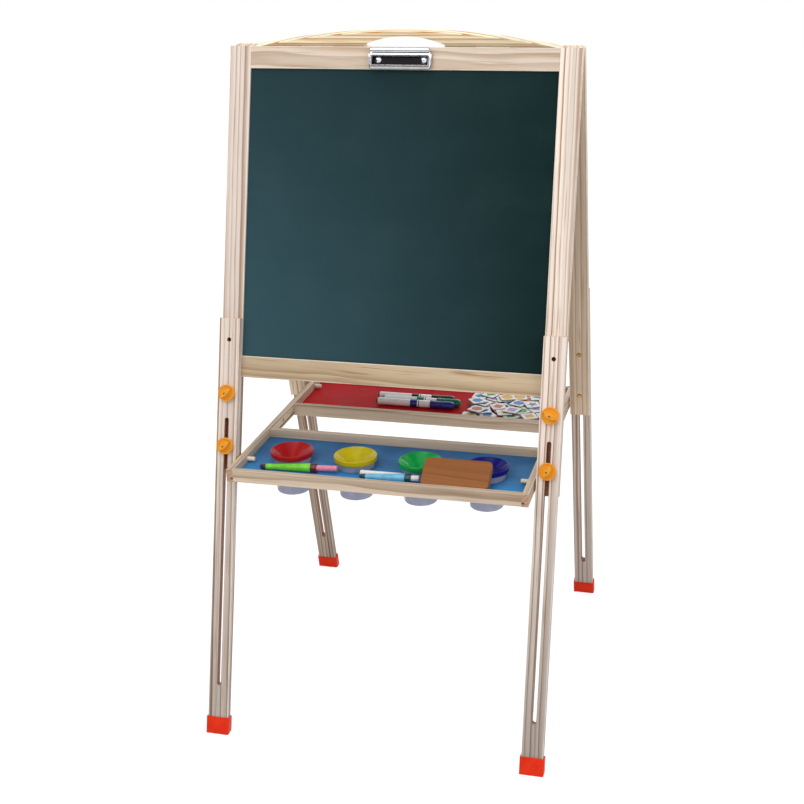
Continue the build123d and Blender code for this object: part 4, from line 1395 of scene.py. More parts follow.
@dataclass
class FootCap:
    """A moulded cap round a leg's end, with a level sole."""

    wall: float = 2.1
    height: float = 26.6
    corner: float = 2.4
    reach: float = 1040.0
    leg_end: float = 1028.0
    board: tuple[float, float] = (32.0, 12.0)
    blank: float = 60.0

    def build(self, name: str, body: str, home: Matrix, x: float, depth: float) -> None:
        """Build one cap.

        Args:
            name: Name of its CAD node.
            body: The leg that carries it.
            home: Its frame's space.
            x: The leg's middle along the hinge axis.
            depth: The leg's middle from the hinge plane.
        """
        width, thick = (size + 2 * self.wall for size in self.board)
        top = self.height - self.reach
        bm = slab((width, thick, self.blank), (0.0, 0.0, -self.blank / 2))
        soften(bm, self.corner, 4, 30.0, upright)
        upper = max(bm.faces, key=lambda f: f.calc_center_median().z)
        bmesh.ops.inset_region(bm, faces=[upper], thickness=self.wall - 0.05, use_even_offset=True)
        pocket = bmesh.ops.extrude_face_region(bm, geom=[upper])["geom"]
        bmesh.ops.delete(bm, geom=[upper], context="FACES")
        bmesh.ops.translate(bm, vec=(0.0, 0.0, -self.leg_end - top), verts=verts_of(pocket))
        bm.transform(home @ Matrix.Translation((x, -depth, top)))
        cut = bmesh.ops.bisect_plane(
            bm, geom=bm.verts[:] + bm.edges[:] + bm.faces[:], plane_co=(0, 0, 0), plane_no=(0, 0, -1),
            clear_outer=True)["geom_cut"]
        bmesh.ops.edgeloop_fill(bm, edges=[g for g in cut if isinstance(g, bmesh.types.BMEdge)])
        cap = soften(faced_out(bm), 0.8, 3, 50.0)
        Workpiece.single(f"{name}_shell", cap, Moulded.CAP_RED.value).deliver(body, [name], "red_plastic")


@dataclass
class LegSet:
    """The two legs of a frame, with their caps and knobs."""

    space: FrameSpace
    turns: dict[Hand, tuple[float, float]]
    bolt_x: float = 244.0
    leg_face: float = 27.7
    width: float = 32.0
    thickness: float = 12.0
    knob_drops: tuple[float, float] = (512.0, 592.0)
    stud_reach: tuple[float, float] = (12.3, 22.6)
    knob_gap: float = 0.3
    length: tuple[float, float] = (400.0, 1028.0)
    piths: tuple[tuple[float, float], ...] = ((-70.0, 26.0), (62.0, -30.0))
    # How much painted shade darkens the lower end of each front leg.
    soil: tuple[float, float] = (0.3, 0.44)
    slot: tuple[float, float] = (960.25, 552.75)
    bore: float = 432.0

    def dress(self) -> None:
        """Give the leg boards their finish."""
        rear = self.space.side is Side.REAR
        drop = sum(self.length) / 2
        for index, hand in enumerate(Hand):
            x = self.space.sign(hand) * self.bolt_x
            name = f"{self.space.side.label}_{hand.label}_leg"
            wood = (Wood.REAR_LEFT_LEG, Wood.REAR_RIGHT_LEG)[index] if rear else Wood.LEG
            Timber(
                f"pine_{name}", wood, Grain.UPRIGHT, self.space.matrix(),
                (x, -self.leg_face + self.thickness / 2, -drop), pith=self.piths[index], ring=7.2,
                waviness=2.0, contrast=1.35, drift=0.25, seed=61.0 + index + 5 * rear,
                slot=tuple(drop - end for end in self.slot), bore=drop - self.bore,
                soil=0.0 if rear else self.soil[index], section=(self.width / 2, self.thickness / 2),
            ).dress(name)

    def build(self) -> None:
        """Build caps and knobs."""
        home = self.space.matrix()
        outward = turn_about("X", 90.0)
        for hand in Hand:
            stem = f"{self.space.side.label}_{hand.label}"
            x = self.space.sign(hand) * self.bolt_x
            FootCap().build(f"{stem}_foot_cap", f"{stem}_leg", home, x, self.leg_face - self.thickness / 2)
            levels = zip(("upper", "lower"), self.knob_drops, self.stud_reach, self.turns[hand])
            for level, drop, reach, turn in levels:
                seat = Matrix.Translation((x, -self.leg_face - self.knob_gap, -drop))
                ThumbKnob().build(f"{stem}_{level}_knob", home @ seat @ outward, turn, reach)


@dataclass
class PaperClip:
    """The sprung clip on the front top rail."""

    space: FrameSpace
    width: float = 92.0
    face: float = 15.4
    lift: float = 7.8
    sheet: float = 1.2
    curl_radius: float = 3.6
    curl_drop: float = 5.6
    curl_turn: float = 318.0
    lip_radius: float = 3.0
    lip_drop: float = 29.8
    lip_turn: float = 205.0
    window: tuple[float, float] = (14.0, 26.5)
    arm: float = 5.0
    pin_drop: float = 12.0
    pin_lift: float = 4.0
    spring_length: float = 24.0
    spring_radius: float = 2.0
    wire: float = 0.28
    turns: int = 26
    screw_spacing: float = 67.0
    screw_drop: float = 18.5
    screw_head: tuple[float, float] = (4.7, 1.6)
    shank: tuple[float, float, float] = (1.55, 0.6, 9.2)
    bend: float = 3.0

    def jaw_sheet(self) -> Shape:
        """The jaw's bent sheet: curl, windowed plate and gripping lip.

        Returns:
            The sheet with its thickness.
        """
        bm = bmesh.new()
        y = -self.face - self.lift + self.sheet / 2
        curl = self.curl_radius - self.sheet / 2
        lip = self.lip_radius - self.sheet / 2
        curl_y = -self.face - self.lift
        start = -self.curl_drop - math.sqrt(curl ** 2 - (y - curl_y) ** 2)
        heights = (start, -self.window[0], -self.window[1], -self.lip_drop)
        left = -self.width / 2 + self.bend
        verts = [bm.verts.new((left, y, z)) for z in heights]
        for pair in zip(verts, verts[1:]):
            bm.edges.new(pair)
        across = (1, 0, 0)
        swept(bm, [verts[0]], (left, curl_y, -self.curl_drop), across, math.radians(self.curl_turn), 22)
        swept(bm, [verts[-1]], (left, y + lip, -self.lip_drop), across, math.radians(self.lip_turn), 14)
        edges = bm.edges[:]
        margin = self.arm - self.bend
        for step in (margin, self.width - 2 * self.arm, margin):
            grown = bmesh.ops.extrude_edge_only(bm, edges=edges)["geom"]
            bmesh.ops.translate(bm, vec=(step, 0.0, 0.0), verts=verts_of(grown))
            edges = [
                g for g in grown
                if isinstance(g, bmesh.types.BMEdge) and abs(g.verts[0].co.x - g.verts[1].co.x) < 1e-4
            ]
        pane = Vector((0.0, y, -sum(self.window) / 2))
        hole = min(bm.faces, key=lambda f: (f.calc_center_median() - pane).length)
        bmesh.ops.delete(bm, geom=[hole], context="FACES")
        for side in (-1, 1):
            rim = [
                e for e in open_edges(bm)
                if all(abs(v.co.x + side * left) < 1e-3 and abs(v.co.y - y) < 1e-3 for v in e.verts)
            ]
            corners = list(dict.fromkeys(v for e in rim for v in e.verts))
            swept(bm, rim + corners, (-side * left, y + self.bend, 0.0), (0, 0, 1), side * math.pi / 2, 7)
        bmesh.ops.solidify(faced_out(bm), geom=bm.faces[:], thickness=self.sheet)
        return soften(faced_out(bm), 0.22, 2, 60.0)

    def cheek(self, hand: Hand) -> Shape:
        """A side flange of the jaw, with rounded corners.

        Args:
            hand: Which side it is on.

        Returns:
            The flange.
        """
        outer, inner = -self.face - self.lift + 0.3, -self.face - self.pin_lift + 1.9
        top, bottom = -self.pin_drop + 2.3, -self.window[1]
        size = (self.sheet, inner - outer, top - bottom)
        middle = (hand.value * (self.width - self.sheet) / 2, (inner + outer) / 2, (top + bottom) / 2)
        bm = slab(size, middle)
        soften(bm, 1.6, 4, 30.0, lambda e: abs((e.verts[0].co - e.verts[1].co).normalized().x) > 0.99)
        return soften(bm, 0.2, 2, 50.0)

    def coil(self) -> Shape:
        """The spring's closed coil round the pin.

        Returns:
            The wire's shell.
        """
        bm = bmesh.new()
        ring = bmesh.ops.create_circle(bm, cap_ends=False, radius=self.wire, segments=7)["verts"]
        y, z = -self.face - self.pin_lift, -self.pin_drop
        bmesh.ops.translate(bm, vec=(-self.spring_length / 2, y + self.spring_radius, z), verts=ring)
        steps = 14 * self.turns
        slide = (self.spring_length / steps, 0.0, 0.0)
        swept(bm, bm.verts[:] + bm.edges[:], (0.0, y, z), (1, 0, 0), math.tau * self.turns, steps, slide)
        bmesh.ops.holes_fill(bm, edges=open_edges(bm), sides=0)
        return faced_out(bm)

    def build(self) -> None:
        """Build jaw, spring and screws, and dress the base and the pin."""
        home = self.space.matrix()
        chrome = Plated.CHROME.value
        jaw = Workpiece("clip_jaw_sheet")
        jaw.take(self.jaw_sheet(), chrome, home)
        for hand in Hand:
            jaw.take(self.cheek(hand), chrome, home)
        jaw.deliver("clip_jaw", ["clip_jaw"], "chrome")
        spring = Workpiece.single("clip_spring_coil", self.coil(), Plated.ZINC.value, home)
        spring.deliver("front_frame", ["clip_spring"], "zinc_steel")
        screws = Workpiece("clip_screw_heads")
        for hand in Hand:
            spot = (hand.value * self.screw_spacing / 2, -self.face - self.sheet, -self.screw_drop)
            turn = Matrix.Rotation(0.4 * hand.value, 4, "Z")
            place = home @ Matrix.Translation(spot) @ turn_about("X", 90.0) @ turn
            screws.take(cross_head(*self.screw_head), chrome, place)
            screws.take(screw_shank(*self.shank), Plated.ZINC.value, place)
        screws.deliver("front_frame", ["clip_screws"], "chrome")
        Plated.BURNISHED.value.dress("clip_base")
        chrome.dress("clip_pin")


@dataclass
class Tray:
    """The tray between the frames: rails, shelves and pegs."""

    peg_radius: float = 3.5
    grip_x: float = 203.5
    front_tip: float = 227.65
    rear_tip: float = 238.0

    def dress_rail(self, node: str, grain: Grain, pith: tuple[float, float], seed: float) -> None:
        """Give a rail its finish.

        Args:
            node: The rail's node.
            grain: Which way it runs.
            pith: Where the heart of the log lay.
            seed: Which piece of timber it is.
        """
        low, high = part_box(node)
        middle = (low + high) / (2 * MM)
        deep = grain is Grain.DEEP
        end = (high.y - low.y) / (2 * MM) - 0.4 if deep else None
        Timber(
            f"pine_{node}", Wood.TRAY, grain, Matrix.Identity(4), tuple(middle), pith, ring=5.6, waviness=2.6,
            contrast=0.65 if deep else 0.85, seed=seed, end=end,
        ).dress(node)

    def dress(self) -> None:
        """Give rails and shelves their finishes."""
        self.dress_rail("tray_left_rail", Grain.DEEP, (-24.0, 14.0), 71.0)
        self.dress_rail("tray_right_rail", Grain.DEEP, (22.0, -16.0), 72.0)
        self.dress_rail("front_tray_rails", Grain.ACROSS, (10.0, 22.0), 73.0)
        self.dress_rail("rear_tray_rails", Grain.ACROSS, (-14.0, 24.0), 74.0)
        # The shelves' front tones are painted light: along the blue shelf's front edge and along the red
        # shelf's inner edge.
        PaintedPanel(
            "blue_shelf", srgb(66, 122, 172), srgb(58, 106, 154), rough=0.4, dusty=0.12,
            front=srgb(52, 146, 208),
        ).dress("front_shelf")
        PaintedPanel(
            "red_shelf", srgb(184, 34, 40), srgb(160, 28, 40), rough=0.4, dusty=0.1, front=srgb(198, 30, 30),
            fade=(240.0, 60.0),
        ).dress("rear_shelf")

    def build(self) -> None:
        """Build the four pegs with rounded ends."""
        pivot = next(joint for joint in frame["joints"] if joint["name"] == "tray_swing")["pos_m"]
        y, z = pivot[1] / MM, pivot[2] / MM
        wood = Timber(
            "pine_peg", Wood.PEG, Grain.ACROSS, Matrix.Identity(4), (0.0, 0.0, z), pith=(9.0, 7.0), ring=2.6,
            waviness=1.0, contrast=0.5, drift=0.5, seed=81.0)
        piece = Workpiece("tray_peg_rods")
        r = self.peg_radius
        for row, tip in ((-y, self.front_tip), (y, self.rear_tip)):
            span = tip - self.grip_x
            profile = [
                (0.0, 0.0), (r - 1.1, 0.0), (r - 0.4, 0.3), (r, 1.2), (r, span - 0.8), (r - 0.6, span),
                (0.0, span),
            ]
            for hand in Hand:
                spot = Matrix.Translation((hand.value * self.grip_x, row, z))
                piece.take(turned(profile, 28), wood, spot @ turn_about("Y", 90.0 * hand.value))
        piece.deliver("tray", ["tray_pegs"], "pine")


@dataclass
class PaintCup:
    """A frosted cup that hangs in the shelf, and its funnel lid."""

    colour: str
    x: float
    shelf: float
    lid: Plastic
    y: float = -148.0
    depth: float = 46.0
    rim_height: float = 14.5
    base: float = 25.0
    neck: float = 26.6
    shoulder: float = 27.8
    rim: float = 28.4
    wall: float = 1.2
    lid_radius: float = 32.5
    lid_top: float = 18.6
    skirt: float = 7.6
    funnel_rim: float = 30.7
    funnel_mouth: float = 8.0
    funnel_depth: float = 16.7
    funnel_neck: float = 5.3

    def cup_shell(self) -> Shape:
        """The cup, with a raised foot ring and a rolled rim.

        Returns:
            The cup's shell.
        """
        w, d, base, top = self.wall, self.depth, self.base, self.rim_height
        profile = [
            (0.0, 1.0 - d), (base - 5.0, 1.0 - d), (base - 4.2, -d), (base - 1.0, -d), (base, 1.2 - d),
            (self.neck, -0.05), (self.shoulder, 0.0), (self.rim - 0.15, top - 2.2), (self.rim, top),
            (self.rim - w, top), (self.shoulder - w, w), (self.neck - w, w), (base - w, w + 1.0 - d),
            (base - w - 1.5, w - d + 0.9), (0.0, w - d + 0.9),
        ]
        return soften(turned(profile, 64), 0.35, 2, 35.0)

    def lid_shell(self) -> Shape:
        """The lid: a rounded rim, a skirt and a funnel to an open neck.

        Returns:
            The lid's shell.
        """
        w, top, outer, bore = self.wall, self.lid_top, self.lid_radius, self.funnel_mouth
        seat = self.rim_height + 0.1
        mouth = top - self.funnel_depth
        end = mouth - self.funnel_neck
        plug = self.rim - w - 0.2
        fit = self.rim + 0.2
        slope = (self.funnel_rim - bore) / self.funnel_depth
        profile = [
            (outer, top - self.skirt), (outer, top - 0.9), (outer - 0.9, top), (self.funnel_rim, top),
            (self.funnel_rim - 1.3, top - 1.6), (bore + slope * 6.0, mouth + 5.2), (bore, mouth), (bore, end),
            (bore + w, end), (bore + w, mouth - w), (plug, seat - w), (plug, seat), (fit, seat),
            (fit, top - self.skirt),
        ]
        return soften(turned(profile, 72, True), 0.4, 3, 28.0)

    def build(self) -> None:
        """Build cup and lid on their own bodies."""
        place = Matrix.Translation((self.x, self.y, self.shelf))
        cup, lid = f"{self.colour}_cup", f"{self.colour}_lid"
        shell = Workpiece.single(f"{cup}_shell", self.cup_shell(), Moulded.FROSTED.value, place)
        shell.deliver(cup, [cup], "frosted_plastic")
        shell = Workpiece.single(f"{lid}_shell", self.lid_shell(), self.lid, place)
        shell.deliver(lid, [lid], f"{lid}_plastic")


@dataclass
class Eraser:
    """A felt eraser that leans on two lids."""

    shelf: float
    x: float = 115.0
    y: float = -211.3
    size: tuple[float, float] = (100.0, 50.0)
    felt: float = 4.0
    wood: float = 8.0
    corner: float = 8.0
    rise: float = 18.9
    run: float = 30.8

    def place(self) -> Matrix:
        """Carry the eraser's space, with its felt down, into the CAD frame."""
        tilt = Matrix.Rotation(math.atan2(self.rise, self.run), 4, "X")
        return Matrix.Translation((self.x, self.y, self.shelf + SHELF_GAP)) @ tilt

    def layer(self, low: float, high: float, shrink: float) -> Shape:
        """A block with rounded corners.

        Args:
            low: Its underside.
            high: Its top.
            shrink: How far its sides stand in.

        Returns:
            The block.
        """
        width, depth = self.size
        size = (width - 2 * shrink, depth - 2 * shrink, high - low)
        bm = slab(size, (0.0, depth / 2, (low + high) / 2))
        return soften(bm, self.corner - shrink, 5, 30.0, upright)

    def build(self) -> None:
        """Build the wooden block and its felt."""
        top = self.felt + self.wood
        block = self.layer(self.felt, top, 0.0)
        soften(block, 2.2, 4, 40.0, lambda e: min(v.co.z for v in e.verts) > top - 0.01)
        soften(block, 0.5, 2, 60.0)
        home = self.place()
        wood = Timber(
            "eraser_block_wood", Wood.CARAMEL, Grain.FLAT, home, (0.0, self.size[1] / 2, top),
            pith=(30.0, -46.0), ring=5.2, waviness=5.0, contrast=0.6, drift=3.0, seed=91.0, relief=0.1)
        handle = Workpiece.single("eraser_handle", block, wood, home)
        handle.deliver("eraser", ["eraser_block"], "eraser_wood")
        pad = soften(self.layer(0.0, self.felt, 0.3), 0.9, 3, 50.0)
        felt = Workpiece.single("eraser_pad", pad, Felt("felt_pad"), home)
        felt.deliver("eraser", ["eraser_felt"], "felt")


@dataclass
class ChalkHolder:
    """A tapered holder with a stick of chalk in its mouth."""

    x: float
    y: float
    turn: float
    shown: float
    body: Plastic
    tip: Plastic
    band: Plastic
    chalk: Chalk
    length: float = 88.0
    tip_length: float = 9.0
    tip_radius: float = 4.0
    mouth_radius: float = 7.2
    chalk_radius: float = 4.4
    sunk: float = 12.0

    def radius(self, along: float) -> float:
        """Radius of the taper at a distance from its tip."""
        return self.tip_radius + (self.mouth_radius - self.tip_radius) * along / self.length

    def place(self, shelf: float) -> Matrix:
        """Carry the holder's space, with its axis along Z from the tip, into the CAD frame.

        Args:
            shelf: Height of the shelf.

        Returns:
            The holder's place.
        """
        droop = math.atan2(self.mouth_radius - self.tip_radius, self.length)
        lift = shelf + SHELF_GAP + self.tip_radius / math.cos(droop)
        lying = Matrix.Rotation(math.radians(90.0) - droop, 4, "Y")
        return Matrix.Translation((self.x, self.y, lift)) @ turn_about("Z", self.turn) @ lying

    def fill(self, piece: Workpiece, shelf: float) -> None:
        """Add tip, barrel, mouth band and chalk to a piece.

        Args:
            piece: The piece that takes them.
            shelf: Height of the shelf.
        """
        home = self.place(shelf)
        t, n, r = self.tip_length, self.length, self.radius
        tip = [(0.0, 0.0), (2.2, 0.0), (3.2, 0.5), (r(2.0) - 0.05, 2.0), (r(t), t), (r(t) - 1.0, t), (0.0, t)]
        barrel = [(0.0, t - 0.6), (r(t) - 0.25, t - 0.6), (r(t) - 0.25, t + 0.4), (r(t + 1), t + 1.0)]
        for ridge in range(5):
            at = t + 9.0 + 3.0 * ridge
            barrel += [(r(at), at), (r(at) - 0.3, at + 0.5), (r(at) - 0.3, at + 1.2), (r(at), at + 1.7)]
        band = n - 9.0
        barrel += [
            (r(band - 1), band - 1.0), (r(band) - 0.25, band - 0.4), (r(band) - 0.25, band + 0.6),
            (0.0, band + 0.6),
        ]
        bore = self.chalk_radius + 0.05
        mouth = [
            (bore, n - self.sunk), (r(band) - 0.05, band), (r(band + 1), band + 0.6), (r(n - 1), n - 1.0),
            (r(n) - 0.6, n), (bore + 0.5, n), (bore, n - 0.5),
        ]
        c, start, end = self.chalk_radius, n - self.sunk, n + self.shown
        stick = [(0.0, start), (c, start), (c, end - 1.4), (c - 0.5, end - 0.5), (c - 1.5, end), (0.0, end)]
        piece.take(turned(tip, 32), self.tip, home)
        piece.take(turned(barrel, 36), self.body, home)
        piece.take(turned(mouth, 36, True), self.band, home)
        piece.take(turned(stick, 28), self.chalk, home)


@dataclass
class ChalkSet:
    """Two chalk holders and a loose stick, which are one body."""

    shelf: float
    stick: tuple[float, float] = (-33.0, -181.5)
    stick_length: float = 64.0
    stick_radius: float = 4.4

    def build(self) -> None:
        """Build holders and stick."""
        pink = Chalk("pink_chalk", srgb(240, 150, 176), srgb(226, 130, 160))
        white = Chalk("white_chalk", srgb(242, 241, 236), srgb(226, 225, 220))
        green = ChalkHolder(
            -187.0, -188.0, turn=2.5, shown=31.0, body=Moulded.HOLDER_GREEN.value, tip=Moulded.PURPLE.value,
            band=Moulded.MAROON.value, chalk=pink)
        blue = ChalkHolder(
            -30.5, -194.0, turn=0.9, shown=12.0, body=Moulded.HOLDER_BLUE.value, tip=Moulded.TEAL.value,
            band=Moulded.TEAL.value, chalk=white, length=78.0)
        piece = Workpiece("chalk_holder_set")
        for holder in (green, blue):
            holder.fill(piece, self.shelf)
        r, n = self.stick_radius, self.stick_length
        stick = [
            (0.0, 0.0), (r - 1.3, 0.0), (r - 0.4, 0.3), (r, 1.2), (r, n - 1.8), (r - 0.7, n - 0.6),
            (r - 1.9, n), (0.0, n),
        ]
        spot = Matrix.Translation((*self.stick, self.shelf + SHELF_GAP + r))
        piece.take(turned(stick, 28), white, spot @ turn_about("Y", 90.0))
        piece.deliver("chalk_holders", ["chalk_holders"], "holder_plastic")


@dataclass
class MarkerSet:
    """Three capped markers side by side."""

    shelf: float
    ends: tuple[float, float, float] = (-89.0, -81.0, -93.0)
    y: float = 112.0
    pitch: float = 13.6
    radius: float = 6.0
    barrel: float = 92.0
    cap: float = 40.0
    cap_radius: float = 6.6
    stripes: tuple[tuple[float, float], ...] = ((58.0, 70.0), (72.0, 73.4))

    def barrel_shell(self) -> Shape:
        """The barrel, stepped in at its tail and under the cap.

        Returns:
            The barrel's shell.
        """
        r, n = self.radius, self.barrel
        profile = [
            (0.0, 2.0), (r - 1.3, 2.0), (r - 0.5, 2.4), (r, 3.6), (r, n - 3.0), (r - 0.3, n - 2.6),
            (r - 0.3, n), (0.0, n),
        ]
        return turned(profile, 32)

    def plug_shell(self) -> Shape:
        """The plug in the barrel's tail.

        Returns:
            The plug's shell.
        """
        r = self.radius - 1.5
        profile = [(0.0, 0.6), (r * 0.5, 0.6), (r * 0.6, 0.0), (r - 0.5, 0.0), (r, 0.6), (r, 3.0), (0.0, 3.0)]
        return turned(profile, 28)

    def stripe(self, low: float, high: float) -> Shape:
        """A printed band round the barrel.

        Args:
            low: Where it starts along the barrel.
            high: Where it ends.

        Returns:
            The band.
        """
        r = self.radius
        return turned([(r - 0.1, low), (r + 0.04, low), (r + 0.04, high), (r - 0.1, high)], 32, True)

    def cap_shell(self) -> Shape:
        """The cap, with grip grooves and a rounded end.

        Returns:
            The cap's shell.
        """
        r, low = self.cap_radius, self.barrel
        high = low + self.cap
        profile = [(0.0, low), (r - 0.5, low), (r, low + 0.6)]
        for groove in range(4):
            at = low + 6.0 + 2.4 * groove
            profile += [(r, at), (r - 0.28, at + 0.4), (r - 0.28, at + 0.9), (r, at + 1.3)]
        profile += [
            (r, high - 6.0), (r - 0.9, high - 2.0), (r - 1.8, high - 0.5), (r - 3.0, high), (0.0, high),
        ]
        return turned(profile, 32)

    def build(self) -> None:
        """Build barrels, stripes, plugs and caps."""
        inks = (Moulded.INK_BLUE.value, Moulded.INK_GREEN.value, Moulded.INK_BLACK.value)
        piece = Workpiece("marker_set")
        for index, (end, ink) in enumerate(zip(self.ends, inks)):
            spot = (end, self.y + index * self.pitch, self.shelf + SHELF_GAP + self.cap_radius)
            home = Matrix.Translation(spot) @ turn_about("Y", 90.0)
            piece.take(self.barrel_shell(), Moulded.BARREL.value, home)
            piece.take(self.plug_shell(), Moulded.PLUG.value, home)
            for low, high in self.stripes:
                piece.take(self.stripe(low, high), ink, home)
            piece.take(self.cap_shell(), ink, home)
        piece.deliver("markers", ["markers"], "marker_plastic")


class TileMark(Enum):
    """Plain shapes on the tiles: corner count, turn in degrees and inner ratio of a star's corners."""

    DISC = (24, 0.0, 1.0)
    TRIANGLE = (3, 90.0, 1.0)
    DIAMOND = (4, 0.0, 1.0)
    SQUARE = (4, 45.0, 1.0)
    HEXAGON = (6, 0.0, 1.0)
    STAR = (10, 90.0, 0.46)
    SUN = (16, 0.0, 0.72)


@dataclass
class TileHeap:
    """Small square tiles heaped in three layers.

    A tile's place is its distance from the right rail and from the inner rail, and its turn in degrees.
    """

    shelf: float
    right: float = 215.5
    inner: float = 62.0
    size: float = 24.0
    thickness: float = 2.5
    magnet: float = 0.9
    corner: float = 2.0
    mark_thickness: float = 0.12
    mark_depth: float = 0.07
    layers: tuple[tuple[tuple[float, float, float], ...], ...] = (
        (
            (27.1, 22.6, 6), (142.3, 27.3, 0), (112.7, 31.8, 39), (76.1, 34.4, 38), (52.1, 44.3, 38),
            (93.2, 54.6, 35), (30.7, 57.3, 38), (133.3, 62.3, 15), (64.3, 67.0, 35), (110.0, 77.1, 20),
            (139.8, 88.5, 7), (82.9, 90.2, 60), (39.3, 90.4, 84), (113.6, 109.7, 62), (62.7, 113.9, 22),
            (29.0, 116.1, 88), (142.4, 116.5, 86),
        ),
        (
            (44.2, 32.8, 28), (20.4, 41.3, 28), (87.4, 42.6, 21), (122.5, 45.5, 22), (61.2, 54.7, 35),
            (37.7, 66.0, 35), (101.7, 67.0, 26), (129.0, 79.9, 65), (71.4, 88.4, 72), (26.2, 100.0, 16),
            (98.8, 104.3, 21), (75.0, 118.0, 15), (45.5, 121.8, 15), (124.5, 121.6, 65),
        ),
        ((75.5, 49.3, 75), (132.6, 43.2, 65), (46.9, 79.8, 25), (139.5, 81.8, 35), (94.1, 106.3, 25)),
    )

    def plate(self, low: float, high: float, shrink: float, edge: float) -> Shape:
        """A square plate with rounded corners.

        Args:
            low: Its underside.
            high: Its top.
            shrink: How far its sides stand in.
            edge: Rounding of its rims.

        Returns:
            The plate.
        """
        side = self.size - 2 * shrink
        bm = slab((side, side, high - low), (0.0, 0.0, (low + high) / 2))
        soften(bm, self.corner, 3, 30.0, upright)
        return soften(bm, edge, 1, 50.0)

    def mark(self, shape: TileMark) -> Shape:
        """A thin raised shape on a tile's face.

        Args:
            shape: Which shape.

        Returns:
            The shape's shell.
        """
        corners, turn, ratio = shape.value
        bm = bmesh.new()
        made = bmesh.ops.create_circle(bm, cap_ends=True, radius=self.size * 0.4, segments=corners)["verts"]
        for vert in made[1::2]:
            vert.co *= ratio
        top = bmesh.ops.extrude_face_region(bm, geom=bm.faces[:])["geom"]
        bmesh.ops.translate(bm, vec=(0.0, 0.0, self.mark_thickness), verts=verts_of(top))
        bm.transform(Matrix.Translation((0.0, 0.0, self.thickness - self.mark_depth)) @ turn_about("Z", turn))
        return faced_out(bm)

    def build(self) -> None:
        """Build every tile: magnet back, white face and coloured shape."""
        marks = list(TileMark)
        inks = [
            Moulded.MARK_RED, Moulded.MARK_YELLOW, Moulded.MARK_BLUE, Moulded.MARK_GREEN, Moulded.MARK_LILAC,
            Moulded.MARK_ORANGE, Moulded.MARK_TEAL, Moulded.MARK_BLUE, Moulded.MARK_YELLOW]
        piece = Workpiece("tile_heap")
        count = 0
        for layer, places in enumerate(self.layers):
            for gap, inset, turn in places:
                lift = self.shelf + SHELF_GAP + self.thickness * layer
                spot = Matrix.Translation((self.right - gap, self.inner + inset, lift))
                home = spot @ turn_about("Z", turn)
                back = self.plate(0.0, self.magnet, shrink=0.2, edge=0.15)
                face = self.plate(self.magnet - 0.05, self.thickness - 0.05, shrink=0.0, edge=0.35)
                piece.take(back, Moulded.MAGNET.value, home)
                piece.take(face, Moulded.TILE.value, home)
                piece.take(self.mark(marks[count % len(marks)]), inks[count % len(inks)].value, home)
                count += 1
        piece.deliver("tiles", ["tiles"], "tile_plastic")


